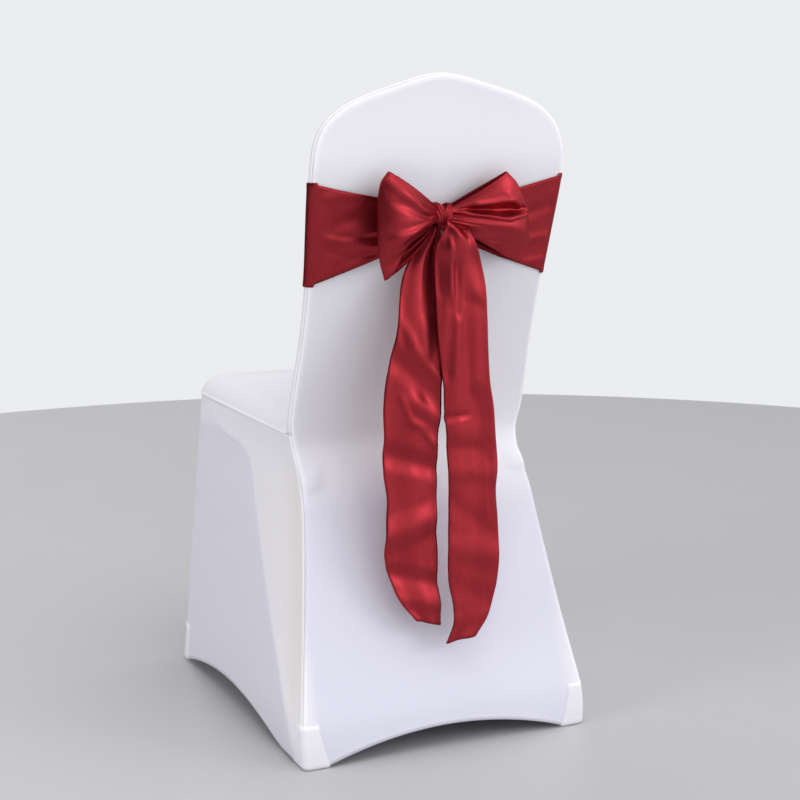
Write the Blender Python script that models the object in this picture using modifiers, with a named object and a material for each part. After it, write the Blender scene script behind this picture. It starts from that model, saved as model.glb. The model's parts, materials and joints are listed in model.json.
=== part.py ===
"""Stretch banquet chair cover with a satin sash tied in a bow behind.

Metres, +Z up. The origin is on the floor under the middle of the cover, +Y points to the
back of the chair (the bow's side) and +X to the sitter's left.
"""

import math

import bmesh
import bpy

COLLECTION = "chair_cover_with_sash"
CUTTERS = "cutters"

KNIT = 0.0015  # thickness of the white cover cloth
SATIN = 0.0012  # thickness of the sash
SEAM_GAP = 0.0004  # between two pieces that are sewn together
SEAM_ANGLE = math.radians(55)  # where the back's edge seam lies on the rounded rim
SEAM_FACET = math.radians(3)  # the narrow facet that keeps a seam's two edges parallel
RIM = 0.009  # radius of the rounded edges of the back
BACK_DEPTH = 0.020  # thickness of the backrest sleeve at its edges
BACK_PADDING = 0.010  # how far the padded front swells past them

CROWN_PEAK = 0.9025
CROWN_SLOPE = 0.33
CROWN_ROUND = 0.030  # half-width of the rounded peak
SHOULDER_HALF_WIDTH = 0.1000

WAIST = 0.408  # height of the seat seam where it meets the back
SEAT_SEAM_FRONT = 0.428
SEAT_FRONT_Y = -0.2275
SEAT_RIM = 0.022  # height of the rim above the side seam
SEAT_ROUND = 0.014
SEAT_CROWN = 0.010
SEAT_FRONT_HALF = 0.192

FOOT_FRONT_Y = -0.2780
FOOT_FRONT_HALF = 0.2141
FRONT_CORNER_TOP = 0.032  # plan radius of the skirt's front corner under the seat
FRONT_CORNER_FLOOR = 0.020
HEM_LIFT = 0.0030  # the hem's height beside the feet
REAR_ARCH = (0.0, 0.1850, 0.0330)  # middle, half span and height of each hem arch
SIDE_ARCH = (-0.0467, 0.2178, 0.0313)
FRONT_ARCH = (0.0, 0.1900, 0.0300)
LEG_RIDGE = 0.009  # how far the rear leg pushes the skirt's side out

POCKET_HEIGHT = 0.060
POCKET_SHELL = 0.0012  # how far a pocket stands proud of the skirt
POCKET_FLOOR_ROUND = 0.0035

# The back panel from the floor to the shoulder, at its outer rounded edge.
BACK_ROWS = (
    # height, half_width, rear_y
    (0.000, 0.2092, 0.2531),
    (0.030, 0.2106, 0.2520),
    (0.060, 0.2090, 0.2475),
    (0.100, 0.2028, 0.2351),
    (0.150, 0.1949, 0.2198),
    (0.200, 0.1874, 0.2055),
    (0.250, 0.1806, 0.1910),
    (0.300, 0.1744, 0.1767),
    (0.330, 0.1712, 0.1668),
    (0.360, 0.1676, 0.1502),
    (0.380, 0.1664, 0.1372),
    (0.408, 0.1690, 0.1270),
    (0.440, 0.1744, 0.1329),
    (0.500, 0.1733, 0.1525),
    (0.550, 0.1710, 0.1700),
    (0.600, 0.1708, 0.1880),
    (0.650, 0.1723, 0.2047),
    (0.700, 0.1750, 0.2195),
    (0.740, 0.1772, 0.2313),
    (0.780, 0.1786, 0.2420),
    (0.800, 0.1780, 0.2446),
    (0.900, 0.1780, 0.2470),
)


def blend(low, high, share):
    """The value this share of the way from low to high."""
    return low + (high - low) * share


def ease(share):
    """A share from 0 to 1 that starts and ends level."""
    share = min(max(share, 0.0), 1.0)
    return share * share * (3 - 2 * share)


def from_rows(rows, column, height):
    """A column of a table read at this height, on a smooth curve through its rows."""
    height = min(max(height, rows[0][0]), rows[-1][0])
    index = next(i for i in range(1, len(rows)) if height <= rows[i][0]) - 1

    def slope(i):
        before, after = rows[max(i - 1, 0)], rows[min(i + 1, len(rows) - 1)]
        return (after[column] - before[column]) / (after[0] - before[0])

    low, high = rows[index], rows[index + 1]
    span = high[0] - low[0]
    share = (height - low[0]) / span
    bend_low = slope(index) * span
    bend_high = slope(index + 1) * span
    rise = high[column] - low[column]
    return (
        low[column]
        + bend_low * share
        + (3 * rise - 2 * bend_low - bend_high) * share**2
        + (bend_low + bend_high - 2 * rise) * share**3
    )


def back_half_width(height):
    return from_rows(BACK_ROWS, 1, height)


def back_y(height):
    return from_rows(BACK_ROWS, 2, height)


def parabola(place, arch):
    middle, half_span, rise = arch
    return max(HEM_LIFT, rise * (1 - ((place - middle) / half_span) ** 2))


# ---------------------------------------------------------------- shared making


def collection(name):
    found = bpy.data.collections.get(name) or bpy.data.collections.new(name)
    if name not in bpy.context.scene.collection.children:
        bpy.context.scene.collection.children.link(found)
    return found


def make_material(name, color, roughness):
    material = bpy.data.materials.new(name)
    material.use_nodes = True
    shader = material.node_tree.nodes["Principled BSDF"]
    shader.inputs["Base Color"].default_value = (*color, 1.0)
    shader.inputs["Roughness"].default_value = roughness
    shader.inputs["Metallic"].default_value = 0.0
    return material


def make_sheet(name, columns, rows, place, thickness, material, outward=True):
    """A grid of cloth whose points place(column, row) sets, given its thickness inwards."""
    bm = bmesh.new()
    bmesh.ops.create_grid(bm, x_segments=columns, y_segments=rows, size=0.5)
    for vert in bm.verts:
        column = round((vert.co.x + 0.5) * columns)
        row = round((vert.co.y + 0.5) * rows)
        vert.co = place(column, row)
    bmesh.ops.remove_doubles(bm, verts=bm.verts, dist=0.00005)
    if not outward:
        bmesh.ops.reverse_faces(bm, faces=bm.faces)
    return finish_shell(name, bm, thickness, material)


def finish_shell(name, bm, thickness, material, group=COLLECTION):
    mesh = bpy.data.meshes.new(name)
    bm.to_mesh(mesh)
    bm.free()
    mesh.shade_smooth()
    mesh.set_sharp_from_angle(angle=math.radians(40))
    mesh.materials.append(material)
    piece = bpy.data.objects.new(name, mesh)
    collection(group).objects.link(piece)
    if thickness:
        wall = piece.modifiers.new("cloth", "SOLIDIFY")
        wall.thickness = thickness
        wall.offset = -1.0
        wall.use_even_offset = True
    return piece


def cut(piece, cutter):
    """Takes a hidden cutter away from a piece."""
    cutter.hide_render = True
    cutter.display_type = "WIRE"
    difference = piece.modifiers.new("cut_" + cutter.name, "BOOLEAN")
    difference.operation = "DIFFERENCE"
    difference.solver = "EXACT"
    difference.object = cutter


# ---------------------------------------------------------------- the backrest sleeve


def crown_height(x):
    """The crown's outline above the shoulders: a low gable with a rounded peak."""
    return CROWN_PEAK - CROWN_SLOPE * (math.hypot(x, CROWN_ROUND) - CROWN_ROUND)


SHOULDER_SIDE = 0.780  # height at which the sides start to round over
SHOULDER_STEPS = 7
CROWN_STEPS = 9


def shoulder_point(share):
    """A point of the shoulder, which rounds from the side to the crown's slope."""
    side = (back_half_width(SHOULDER_SIDE), SHOULDER_SIDE)
    top = (SHOULDER_HALF_WIDTH, crown_height(SHOULDER_HALF_WIDTH))
    corner = (side[0], crown_height(side[0]))
    weights = ((1 - share) ** 2, 2 * share * (1 - share), share**2)
    pull = 1.25
    weights = (weights[0], weights[1] * pull, weights[2])
    total = sum(weights)
    return tuple(
        sum(w * p[axis] for w, p in zip(weights, (side, corner, top))) / total
        for axis in (0, 1)
    )


def back_outline(low, steps):
    """Half of the back's outline, from this height up the side to the crown's peak."""
    points = []
    for step in range(steps):
        height = blend(low, SHOULDER_SIDE, step / steps)
        points.append((back_half_width(height), height))
    for step in range(SHOULDER_STEPS):
        points.append(shoulder_point(step / SHOULDER_STEPS))
    for step in range(CROWN_STEPS + 1):
        x = SHOULDER_HALF_WIDTH * (1 - step / CROWN_STEPS)
        points.append((x, crown_height(x)))
    return points


def inward(points, index):
    """The unit direction into the sleeve at a point of the outline."""
    if index == len(points) - 1:
        return (0.0, -1.0)
    before = points[max(index - 1, 0)]
    after = points[index + 1]
    dx, dz = after[0] - before[0], after[1] - before[1]
    length = math.hypot(dx, dz)
    return (-dz / length, dx / length)


def sleeve_point(points, index, inset, depth):
    """A point of the sleeve this far in from its edge and this deep from its rear face."""
    into = inward(points, index) if index else (-1.0, 0.0)
    x = points[index][0] + into[0] * inset
    z = points[index][1] + into[1] * inset
    return (max(x, 0.0), back_y(z) - depth, z)


def rear_rim(angle):
    return RIM - RIM * math.sin(angle), RIM - RIM * math.cos(angle)


def front_rim(angle):
    return RIM - RIM * math.cos(angle), BACK_DEPTH - RIM + RIM * math.sin(angle)


def section_columns(section, middle_columns):
    """Columns across a row: the rim of one side, the face, and the rim of the other side."""
    columns = [(1, inset, depth) for inset, depth in section]
    for step in range(1, middle_columns):
        columns.append((1 - 2 * step / middle_columns, *section[-1]))
    columns += [(-1, inset, depth) for inset, depth in reversed(section)]
    return columns


def front_swell(share, height):
    """How far the padded front stands out, this share of the way to its side edge."""
    rise = math.sin(math.pi * (height - WAIST) / (CROWN_PEAK - WAIST))
    return BACK_PADDING * (1 - share**2) * max(rise, 0.0)


def make_back_panel(material):
    """The outer back: one length from the crown to the rear hem's arch."""
    upper = back_outline(WAIST, 13)
    lower = []
    steps = 9
    for step in range(steps):
        height = blend(HEM_LIFT, WAIST, step / steps)
        lower.append((back_half_width(height), height))
    points = lower + upper
    angles = [SEAM_ANGLE, SEAM_ANGLE - SEAM_FACET]
    angles += [SEAM_ANGLE * (1 - step / 3) for step in range(1, 4)]
    section = [rear_rim(angle) for angle in angles]
    columns = section_columns(section, 10)

    def place(column, row):
        share, inset, depth = columns[column]
        x, y, z = sleeve_point(points, row, inset, depth)
        x *= share
        if z < WAIST:
            hem = parabola(x, REAR_ARCH)
            z = blend(hem, WAIST, (z - HEM_LIFT) / (WAIST - HEM_LIFT))
            y = back_y(z) - depth
        return (x, y, z)

    return make_sheet(
        "back_panel", len(columns) - 1, len(points) - 1, place, KNIT, material
    )


def make_back_front_panel(material):
    """The front of the sleeve, with the sides and top that its rounded edge wraps."""
    points = back_outline(WAIST + SEAM_GAP, 13)
    seam = SEAM_ANGLE + SEAM_GAP / RIM
    section = [rear_rim(seam), rear_rim(seam + SEAM_FACET)]
    section += [rear_rim(blend(seam, math.pi / 2, step / 2)) for step in (1, 2)]
    section += [front_rim(math.pi / 2 * step / 3) for step in range(4)]
    columns = section_columns(section, 10)

    def place(column, row):
        share, inset, depth = columns[column]
        x, y, z = sleeve_point(points, row, inset, depth)
        return (x * share, y - front_swell(share, z), z)

    return make_sheet(
        "back_front_panel", len(columns) - 1, len(points) - 1, place, KNIT, material, False
    )


# ---------------------------------------------------------------- the seat and the skirt


def front_half(height):
    return blend(FOOT_FRONT_HALF, SEAT_FRONT_HALF, height / SEAT_SEAM_FRONT)


def front_y(height):
    return blend(FOOT_FRONT_Y, SEAT_FRONT_Y, height / SEAT_SEAM_FRONT)


def front_round(height):
    return blend(FRONT_CORNER_FLOOR, FRONT_CORNER_TOP, height / SEAT_SEAM_FRONT)


def seam_height(y):
    """The seat seam's height, which rises a little towards the front."""
    back = back_y(WAIST) - BACK_DEPTH
    return blend(WAIST, SEAT_SEAM_FRONT, min(max((back - y) / (back - SEAT_FRONT_Y), 0), 1))


def side_plan(height):
    """The skirt's side in plan, from the rear seam round to the front corner's middle."""
    half, rear = back_half_width(height), back_y(height)
    lean = math.radians(78)
    seam = SEAM_ANGLE + SEAM_GAP / RIM
    points = []
    for angle in (seam, seam + SEAM_FACET, blend(seam, lean, 0.5), lean):
        inset, depth = rear_rim(angle)
        points.append((half - inset, rear - depth))
    web = points[-1]
    radius = front_round(height)
    start = (front_half(height), front_y(height) + radius)
    push = LEG_RIDGE * math.sin(math.pi * min(height / WAIST, 1) ** 0.8)
    leg_y = blend(0.185, 0.060, height / WAIST)
    share = (leg_y - start[1]) / (points[-1][1] - start[1])
    leg = (blend(start[0], points[-1][0], share) + push, leg_y)
    for step in range(1, 4):
        points.append(tuple(blend(a, b, step / 4) for a, b in zip(web, leg)))
    points.append(leg)
    for step in range(1, 8):
        share = step / 8
        pull = -0.004 * math.sin(math.pi * share) * (1 - height / WAIST)
        x = blend(leg[0], start[0], share) + pull
        points.append((x, blend(leg[1], start[1], share)))
    for angle in (0.0, 0.26, 0.52, math.pi / 4 - SEAM_FACET, math.pi / 4):
        x = start[0] - radius + radius * math.cos(angle)
        points.append((x, start[1] - radius * math.sin(angle)))
    return points


def front_plan(height, columns=10):
    """The skirt's front in plan, from one corner's middle to the other's."""
    radius = front_round(height)
    half, face = front_half(height), front_y(height)
    turn = SEAM_GAP / radius
    corner = []
    seam = math.pi / 4 + turn
    for angle in (seam, seam + SEAM_FACET, 1.05, 1.31, math.pi / 2):
        corner.append(
            (
                half - radius + radius * math.cos(angle),
                face + radius - radius * math.sin(angle),
            )
        )
    flat = corner[-1][0]
    middle = [
        (flat * (1 - 2 * step / columns), face) for step in range(1, columns)
    ]
    return corner + middle + [(-x, y) for x, y in reversed(corner)]


def make_skirt_side(name, side, material):
    rows = 9
    columns = len(side_plan(0.1)) - 1

    def place(column, row):
        low = parabola(side_plan(HEM_LIFT)[column][1], SIDE_ARCH)
        high = seam_height(side_plan(WAIST)[column][1]) - SEAM_GAP
        z = blend(low, high, row / rows)
        x, y = side_plan(z)[column]
        return (side * x, y, z)

    return make_sheet(name, columns, rows, place, KNIT, material, side < 0)


def make_skirt_front(material):
    rows = 9
    columns = len(front_plan(0.1)) - 1

    def place(column, row):
        low = parabola(front_plan(HEM_LIFT)[column][0], FRONT_ARCH)
        z = blend(low, SEAT_SEAM_FRONT - SEAM_GAP, row / rows)
        x, y = front_plan(z)[column]
        return (x, y, z)

    return make_sheet("skirt_front", columns, rows, place, KNIT, material, False)


def make_seat_panel(material):
    """The seat's top and rim: a shallow cap whose rear edge is tucked in at the back."""
    rear = back_y(WAIST) - BACK_DEPTH - 0.004
    outline = []
    corner_y = SEAT_FRONT_Y + FRONT_CORNER_TOP
    side_rear = (back_half_width(WAIST) - 0.001, rear)
    side_front = (SEAT_FRONT_HALF, corner_y)
    for step in range(8):
        outline.append(tuple(blend(a, b, step / 8) for a, b in zip(side_rear, side_front)))
    for step in range(6):
        angle = math.pi / 2 * step / 5
        outline.append(
            (
                SEAT_FRONT_HALF - FRONT_CORNER_TOP * (1 - math.cos(angle)),
                corner_y - FRONT_CORNER_TOP * math.sin(angle),
            )
        )
    half = outline[-1][0]
    outline += [(half * (1 - step / 4), SEAT_FRONT_Y) for step in range(1, 4)]
    outline += [(0.0, SEAT_FRONT_Y)] + [(-x, y) for x, y in reversed(outline)]
    outline += [(side_rear[0] * (step / 4 - 1), rear) for step in range(1, 8)]
    outline.append(outline[0])
    centre_y = (rear + SEAT_FRONT_Y) / 2
    # Each ring of the cap: how far in it lies, its height over the seam, its scale.
    rings = [(0.0, 0.0, 1.0), (0.0, SEAT_RIM * 0.5, 1.0)]
    for step in range(4):
        angle = math.pi / 2 * step / 3
        rings.append(
            (
                SEAT_ROUND * (1 - math.cos(angle)),
                SEAT_RIM - SEAT_ROUND * (1 - math.sin(angle)) + 0.004,
                1.0,
            )
        )
    last = rings[-1]
    for step in range(1, 6):
        scale = 1 - step / 5
        rise = SEAT_CROWN * (1 - scale**2)
        rings.append((last[0], last[1] + rise, scale))

    def place(column, row):
        x, y = outline[column]
        inset, lift, scale = rings[row]
        width = abs(x) or 1.0
        share_in = inset / math.hypot(width, abs(y - centre_y))
        x *= (1 - share_in) * scale
        y = centre_y + (y - centre_y) * (1 - share_in) * scale
        base = seam_height(y) + SEAM_GAP
        return (x, y, base + lift)

    return make_sheet(
        "seat_panel", len(outline) - 1, len(rings) - 1, place, KNIT, material, False
    )


# ---------------------------------------------------------------- the foot pockets


def pocket_outline(rear, height, extra):
    """A foot pocket in plan: along the skirt round the corner, then back across inside."""
    if rear:
        half, face = back_half_width(height), back_y(height)
        along_side, along_end = 0.040, blend(0.036, 0.018, height / POCKET_HEIGHT)
        radius, way = RIM, -1
    else:
        half, face = front_half(height), front_y(height)
        along_side, along_end = 0.030, 0.034
        radius, way = front_round(height), 1
    inner = 0.004
    points = [(half - along_end - extra, face)]
    for step in range(5):
        angle = math.pi / 2 * (1 - step / 4)
        points.append(
            (
                half - radius + radius * math.cos(angle),
                face + way * (radius - radius * math.sin(angle)),
            )
        )
    points.append((half + 0.0005, face + way * (along_side + extra)))
    points.append((half - along_end * 0.5, face + way * (along_side + inner + extra)))
    points.append((half - along_end - inner - extra, face + way * along_side * 0.55))
    return points


def grown(points, amount):
    """An outline moved outwards by this much."""
    count = len(points)
    turn = sum(
        points[i][0] * points[(i + 1) % count][1] - points[(i + 1) % count][0] * points[i][1]
        for i in range(count)
    )
    sign = 1 if turn > 0 else -1
    moved = []
    for i in range(count):
        (ax, ay), (bx, by), (cx, cy) = points[i - 1], points[i], points[(i + 1) % count]
        normals = []
        for dx, dy in ((bx - ax, by - ay), (cx - bx, cy - by)):
            length = math.hypot(dx, dy)
            normals.append((dy / length, -dx / length))
        nx = normals[0][0] + normals[1][0]
        ny = normals[0][1] + normals[1][1]
        step = sign * amount * 2 / (nx * nx + ny * ny)
        moved.append((bx + step * nx, by + step * ny))
    return moved


def ring_loft(bm, rings):
    """Closed rings of equal length joined with faces, and the first ring filled."""
    loops = [[bm.verts.new(point) for point in ring] for ring in rings]
    for low, high in zip(loops, loops[1:]):
        for i in range(len(low)):
            k = (i + 1) % len(low)
            bm.faces.new((low[i], low[k], high[k], high[i]))
    bm.faces.new(loops[0])
    return loops


def make_pocket(name, side, rear, material):
    levels = (
        # height, grown
        (0.0, POCKET_SHELL - POCKET_FLOOR_ROUND),
        (POCKET_FLOOR_ROUND * 0.3, POCKET_SHELL - POCKET_FLOOR_ROUND * 0.3),
        (POCKET_FLOOR_ROUND, POCKET_SHELL),
        (POCKET_HEIGHT * 0.5, POCKET_SHELL),
        (POCKET_HEIGHT, POCKET_SHELL),
    )
    bm = bmesh.new()
    rings = []
    for height, growth in levels:
        outline = grown(pocket_outline(rear, height, 0.0), growth)
        rings.append([(side * x, y, height) for x, y in outline])
    ring_loft(bm, rings)
    bmesh.ops.recalc_face_normals(bm, faces=bm.faces)
    return finish_shell(name, bm, KNIT, material)


def make_pocket_cutter(name, side, rear):
    bm = bmesh.new()
    rings = []
    for height in (-0.010, 0.0, POCKET_HEIGHT / 2, POCKET_HEIGHT, POCKET_HEIGHT + SEAM_GAP):
        at = min(max(height, 0.0), POCKET_HEIGHT)
        outline = grown(pocket_outline(rear, at, 0.0), POCKET_SHELL + SEAM_GAP)
        rings.append([(side * x, y, height) for x, y in outline])
    loops = ring_loft(bm, rings)
    bm.faces.new(loops[-1])
    bmesh.ops.recalc_face_normals(bm, faces=bm.faces)
    mesh = bpy.data.meshes.new(name)
    bm.to_mesh(mesh)
    bm.free()
    cutter = bpy.data.objects.new(name, mesh)
    collection(CUTTERS).objects.link(cutter)
    return cutter


# ---------------------------------------------------------------- the sash

SASH_CLEAR = 0.0008  # between the sash and the cover
BAND_TOP = 0.769  # the band's edges where it is flat, at the sides and in front
BAND_BOTTOM = 0.633
KNOT = (0.001, 0.2402, 0.7205)
KNOT_RADII = (0.0135, 0.0112, 0.0175)
LOOP_GRIP = 0.0032  # half the thickness of a loop there
LOOP_ROOT = 0.0085  # half the height of a loop where the knot grips it
TAIL_FOLD = 0.0026  # radius of the fold down each tail's outer edge
TAIL_RECESS = 0.005  # how far the hidden layer's edge stops short of the front layer's

# The outer end of each loop, from its upper corner to its lower one.
LEFT_LOOP_END = (
    # across, x, z
    (-1.00, 0.0867, 0.7823),
    (-0.75, 0.0968, 0.7700),
    (-0.45, 0.1010, 0.7501),
    (-0.10, 0.1011, 0.7218),
    (0.30, 0.1001, 0.6926),
    (0.65, 0.0969, 0.6676),
    (1.00, 0.0890, 0.6431),
)
RIGHT_LOOP_END = (
    # across, x, z
    (-1.00, -0.0820, 0.7762),
    (-0.75, -0.0970, 0.7630),
    (-0.45, -0.1090, 0.7454),
    (-0.10, -0.1204, 0.7217),
    (0.30, -0.1234, 0.6994),
    (0.65, -0.1283, 0.6802),
    (1.00, -0.1112, 0.6546),
)

# Each tail from the knot to its free end: the outer and inner edge, and the end's slant.
LEFT_TAIL = (
    # height, outer_x, inner_x, y, slant
    (0.7200, 0.0080, 0.0005, 0.2352, 0.000),
    (0.7000, 0.0145, 0.0000, 0.2345, 0.000),
    (0.6750, 0.0360, 0.0010, 0.2352, 0.000),
    (0.6468, 0.0530, 0.0020, 0.2380, 0.000),
    (0.6162, 0.0610, 0.0020, 0.2410, 0.000),
    (0.5800, 0.0662, 0.0020, 0.2435, 0.000),
    (0.5443, 0.0740, 0.0030, 0.2440, 0.000),
    (0.5083, 0.0828, 0.0049, 0.2440, 0.000),
    (0.4718, 0.0861, 0.0046, 0.2440, 0.000),
    (0.4347, 0.0852, 0.0089, 0.2440, 0.000),
    (0.3900, 0.0869, 0.0096, 0.2440, 0.000),
    (0.3500, 0.0824, 0.0114, 0.2440, 0.000),
    (0.3100, 0.0859, 0.0129, 0.2440, 0.000),
    (0.2750, 0.0879, 0.0109, 0.2440, 0.000),
    (0.2400, 0.0794, 0.0114, 0.2440, 0.001),
    (0.2090, 0.0674, 0.0084, 0.2440, 0.003),
    (0.1776, 0.0444, 0.0084, 0.2440, 0.006),
)
RIGHT_TAIL = (
    # height, outer_x, inner_x, y, slant
    (0.7240, -0.0100, -0.0020, 0.2450, 0.000),
    (0.7080, -0.0265, 0.0030, 0.2570, 0.000),
    (0.6860, -0.0370, 0.0160, 0.2620, 0.000),
    (0.6600, -0.0448, 0.0198, 0.2620, 0.000),
    (0.6280, -0.0508, 0.0198, 0.2620, 0.000),
    (0.5900, -0.0530, 0.0190, 0.2620, 0.000),
    (0.5500, -0.0546, 0.0158, 0.2620, 0.000),
    (0.5029, -0.0578, 0.0093, 0.2620, 0.000),
    (0.4655, -0.0638, 0.0080, 0.2620, 0.000),
    (0.4278, -0.0666, 0.0054, 0.2620, 0.000),
    (0.3900, -0.0694, 0.0041, 0.2620, 0.000),
    (0.3519, -0.0666, 0.0029, 0.2620, 0.000),
    (0.3139, -0.0688, 0.0046, 0.2620, 0.000),
    (0.2758, -0.0703, 0.0063, 0.2620, 0.000),
    (0.2371, -0.0683, 0.0058, 0.2620, 0.000),
    (0.2000, -0.0598, -0.0003, 0.2620, -0.001),
    (0.1750, -0.0498, 0.0002, 0.2620, 0.000),
    (0.1518, -0.0348, 0.0105, 0.2620, 0.002),
)


def band_edges(x):
    """The band's lower and upper edge at this distance from the knot, as it gathers in."""
    share = min(abs(x) / back_half_width(BAND_TOP), 1.0)
    return blend(0.7050, BAND_BOTTOM, share**0.8), blend(0.7350, BAND_TOP, share**1.4)


def band_path(height):
    """Points round the sleeve at this height, with the direction that faces away from it."""
    half, rear = back_half_width(height), back_y(height)
    points = []
    for step in range(8):
        x = blend(0.006, half - RIM, step / 8)
        points.append(((x, rear), (0.0, 1.0)))
    for step in range(4):
        angle = math.pi / 2 * step / 3
        inset, depth = rear_rim(angle)
        points.append(((half - inset, rear - depth), (math.sin(angle), math.cos(angle))))
    for step in range(4):
        angle = math.pi / 2 * step / 3
        inset, depth = front_rim(angle)
        points.append(((half - inset, rear - depth), (math.cos(angle), -math.sin(angle))))
    for step in range(1, 5):
        share = 1 - step / 4
        swell = front_swell(share, height)
        x = (half - RIM) * share
        points.append(((x, rear - BACK_DEPTH - swell), (0.0, -1.0)))
    return points


def band_fold(x, across):
    """How far the band's folds lift it: deep by the knot and gone at the sides."""
    near = 1 - min(abs(x) / 0.165, 1.0)
    depth = 0.0048 * math.sin(math.pi * min(near * 0.62, 1.0)) ** 1.2
    return depth * (0.5 + 0.5 * math.cos(math.pi * (2.4 * across + 0.35 + near)))


def make_band(material):
    rows = 9
    half_columns = len(band_path(0.7)) - 1
    columns = half_columns * 2

    def place(column, row):
        side = 1 if column <= half_columns else -1
        index = column if side > 0 else columns - column
        across = 2 * row / rows - 1
        (x, _), (_, facing) = band_path(0.70)[index]
        low, high = band_edges(x if facing > 0.99 else 1.0)
        z = blend(low, high, row / rows)
        (x, y), (nx, ny) = band_path(z)[index]
        lift = SASH_CLEAR
        if facing > 0.99:
            lift += band_fold(x, across)
        return (side * (x + nx * lift), y + ny * lift, z)

    return make_sheet("band", columns, rows, place, SATIN, material)


def loop_end(rows, across):
    return from_rows(rows, 1, across), from_rows(rows, 2, across)


def make_loop(name, side, end_rows, stand_off, follow, puffed, creases, material):
    """A loop of the bow: out along its back layer, round the end and home along the front."""
    columns, rows = 18, 9

    def place(column, row):
        turn = math.pi * column / columns
        across = 2 * row / rows - 1
        reach = math.sin(turn) ** 0.85
        end_x, end_z = loop_end(end_rows, across)
        root_x = KNOT[0] + side * 0.004
        root_z = KNOT[2] - LOOP_ROOT * across
        x = blend(root_x, end_x, reach)
        z = blend(root_z, end_z, reach)
        z -= 0.007 * max(across, 0.0) * math.sin(math.pi * reach)
        puff = blend(LOOP_GRIP, puffed, math.sin(math.pi * reach * 0.62))
        lean = follow * (back_y(z) - back_y(KNOT[2]))
        y = blend(KNOT[1] - LOOP_GRIP, stand_off + lean, math.sin(math.pi / 2 * reach))
        y += (1 - math.cos(turn)) * puff
        front = blend(0.5, 1.0, ease((turn - math.pi / 2) / 0.9))
        crease = math.sin(math.pi * (creases * across + 0.3)) * math.sin(math.pi * reach * 0.8)
        return (x, y + 0.0045 * front * crease, z)

    return make_sheet(name, columns, rows, place, SATIN, material, side < 0)


def make_tail(name, rows_table, fold_depth, phase, material):
    """A tail folded down its outer edge: a front layer, the fold, and a layer behind it."""
    front, fold, behind = 6, 3, 5
    columns = front + fold + behind
    side = 1 if rows_table[0][1] > 0 else -1

    def place(column, row):
        height, outer, inner, y, slant = rows_table[row]
        tight = ease((0.7200 - height) / 0.05)
        radius = blend(0.0016, TAIL_FOLD, tight)
        width = abs(outer - inner)
        edge = outer - side * radius
        if column <= front:
            share = column / front
            x, depth = blend(inner, edge, share), radius
        elif column < front + fold:
            angle = math.pi * (column - front) / fold
            x, depth = edge + side * radius * math.sin(angle), radius * math.cos(angle)
            share = 1.0
        else:
            share = 1 - (column - front - fold) / behind
            x = blend(inner + side * TAIL_RECESS * tight, edge, share)
            depth = -radius
        drop = 0.7200 - height
        deep = tight * (fold_depth * math.exp(-drop / 0.22) + 0.0016)
        wave = deep * math.cos(math.pi * (2.6 * share + phase + 1.5 * drop))
        sway = 0.0030 * ease((drop - 0.05) / 0.10) * math.sin(13 * drop + phase)
        z = height + slant * (2 * share - 1) * min(width / 0.04, 1.0)
        return (x, y + depth + wave + sway, z)

    flip = side > 0
    return make_sheet(name, columns, len(rows_table) - 1, place, SATIN, material, flip)


def make_sash(material):
    """One strip of satin: the band, both loops and both tails run into the knot."""
    strips = [
        make_band(material),
        make_loop("left_loop", 1, LEFT_LOOP_END, 0.2545, 0.25, 0.0120, 0.9, material),
        make_loop("right_loop", -1, RIGHT_LOOP_END, 0.2400, 0.90, 0.0105, 1.4, material),
        make_tail("left_tail", LEFT_TAIL, 0.0030, 0.2, material),
        make_tail("right_tail", RIGHT_TAIL, 0.0060, 0.9, material),
    ]
    strip_group = collection("sash_strips")
    for strip in strips:
        collection(COLLECTION).objects.unlink(strip)
        strip_group.objects.link(strip)
        strip.hide_render = True
        strip.display_type = "WIRE"
    bm = bmesh.new()
    bmesh.ops.create_uvsphere(bm, u_segments=16, v_segments=10, radius=1.0)
    for vert in bm.verts:
        x, y, z = vert.co
        pinch = 1 - 0.16 * math.cos(3 * math.atan2(y, x) + 2.2 * z)
        vert.co = (
            KNOT[0] + KNOT_RADII[0] * x * pinch,
            KNOT[1] + KNOT_RADII[1] * y * pinch,
            KNOT[2] + KNOT_RADII[2] * z,
        )
    knot = finish_shell("sash", bm, 0, material)
    union = knot.modifiers.new("one_strip", "BOOLEAN")
    union.operation = "UNION"
    union.solver = "EXACT"
    union.operand_type = "COLLECTION"
    union.collection = strip_group
    return knot


# ---------------------------------------------------------------- main


def main():
    for found in list(bpy.data.objects):
        bpy.data.objects.remove(found, do_unlink=True)
    knit = make_material("white_stretch_knit", (0.86, 0.86, 0.88), 0.75)
    doubled = make_material("white_doubled_knit", (0.92, 0.92, 0.94), 0.70)
    satin = make_material("burgundy_satin", (0.30, 0.012, 0.022), 0.35)

    back = make_back_panel(knit)
    make_back_front_panel(knit)
    make_seat_panel(knit)
    skirts = {1: make_skirt_side("skirt_left", 1, knit), -1: make_skirt_side("skirt_right", -1, knit)}
    front = make_skirt_front(knit)
    for side, word in ((1, "left"), (-1, "right")):
        for rear, end in ((True, "rear"), (False, "front")):
            make_pocket(f"foot_pocket_{end}_{word}", side, rear, doubled)
            cutter = make_pocket_cutter(f"cut_{end}_{word}", side, rear)
            cut(skirts[side], cutter)
            cut(back if rear else front, cutter)
    make_sash(satin)


main()
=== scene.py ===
"""A stretch chair cover for a banquet chair, with a satin sash tied in a bow behind.

Metres, +Z up, +Y to the rear of the chair and +X to a sitter's left.
"""

import json
import math

import bmesh
import bpy
import numpy as np
from mathutils import Matrix, Vector

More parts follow.
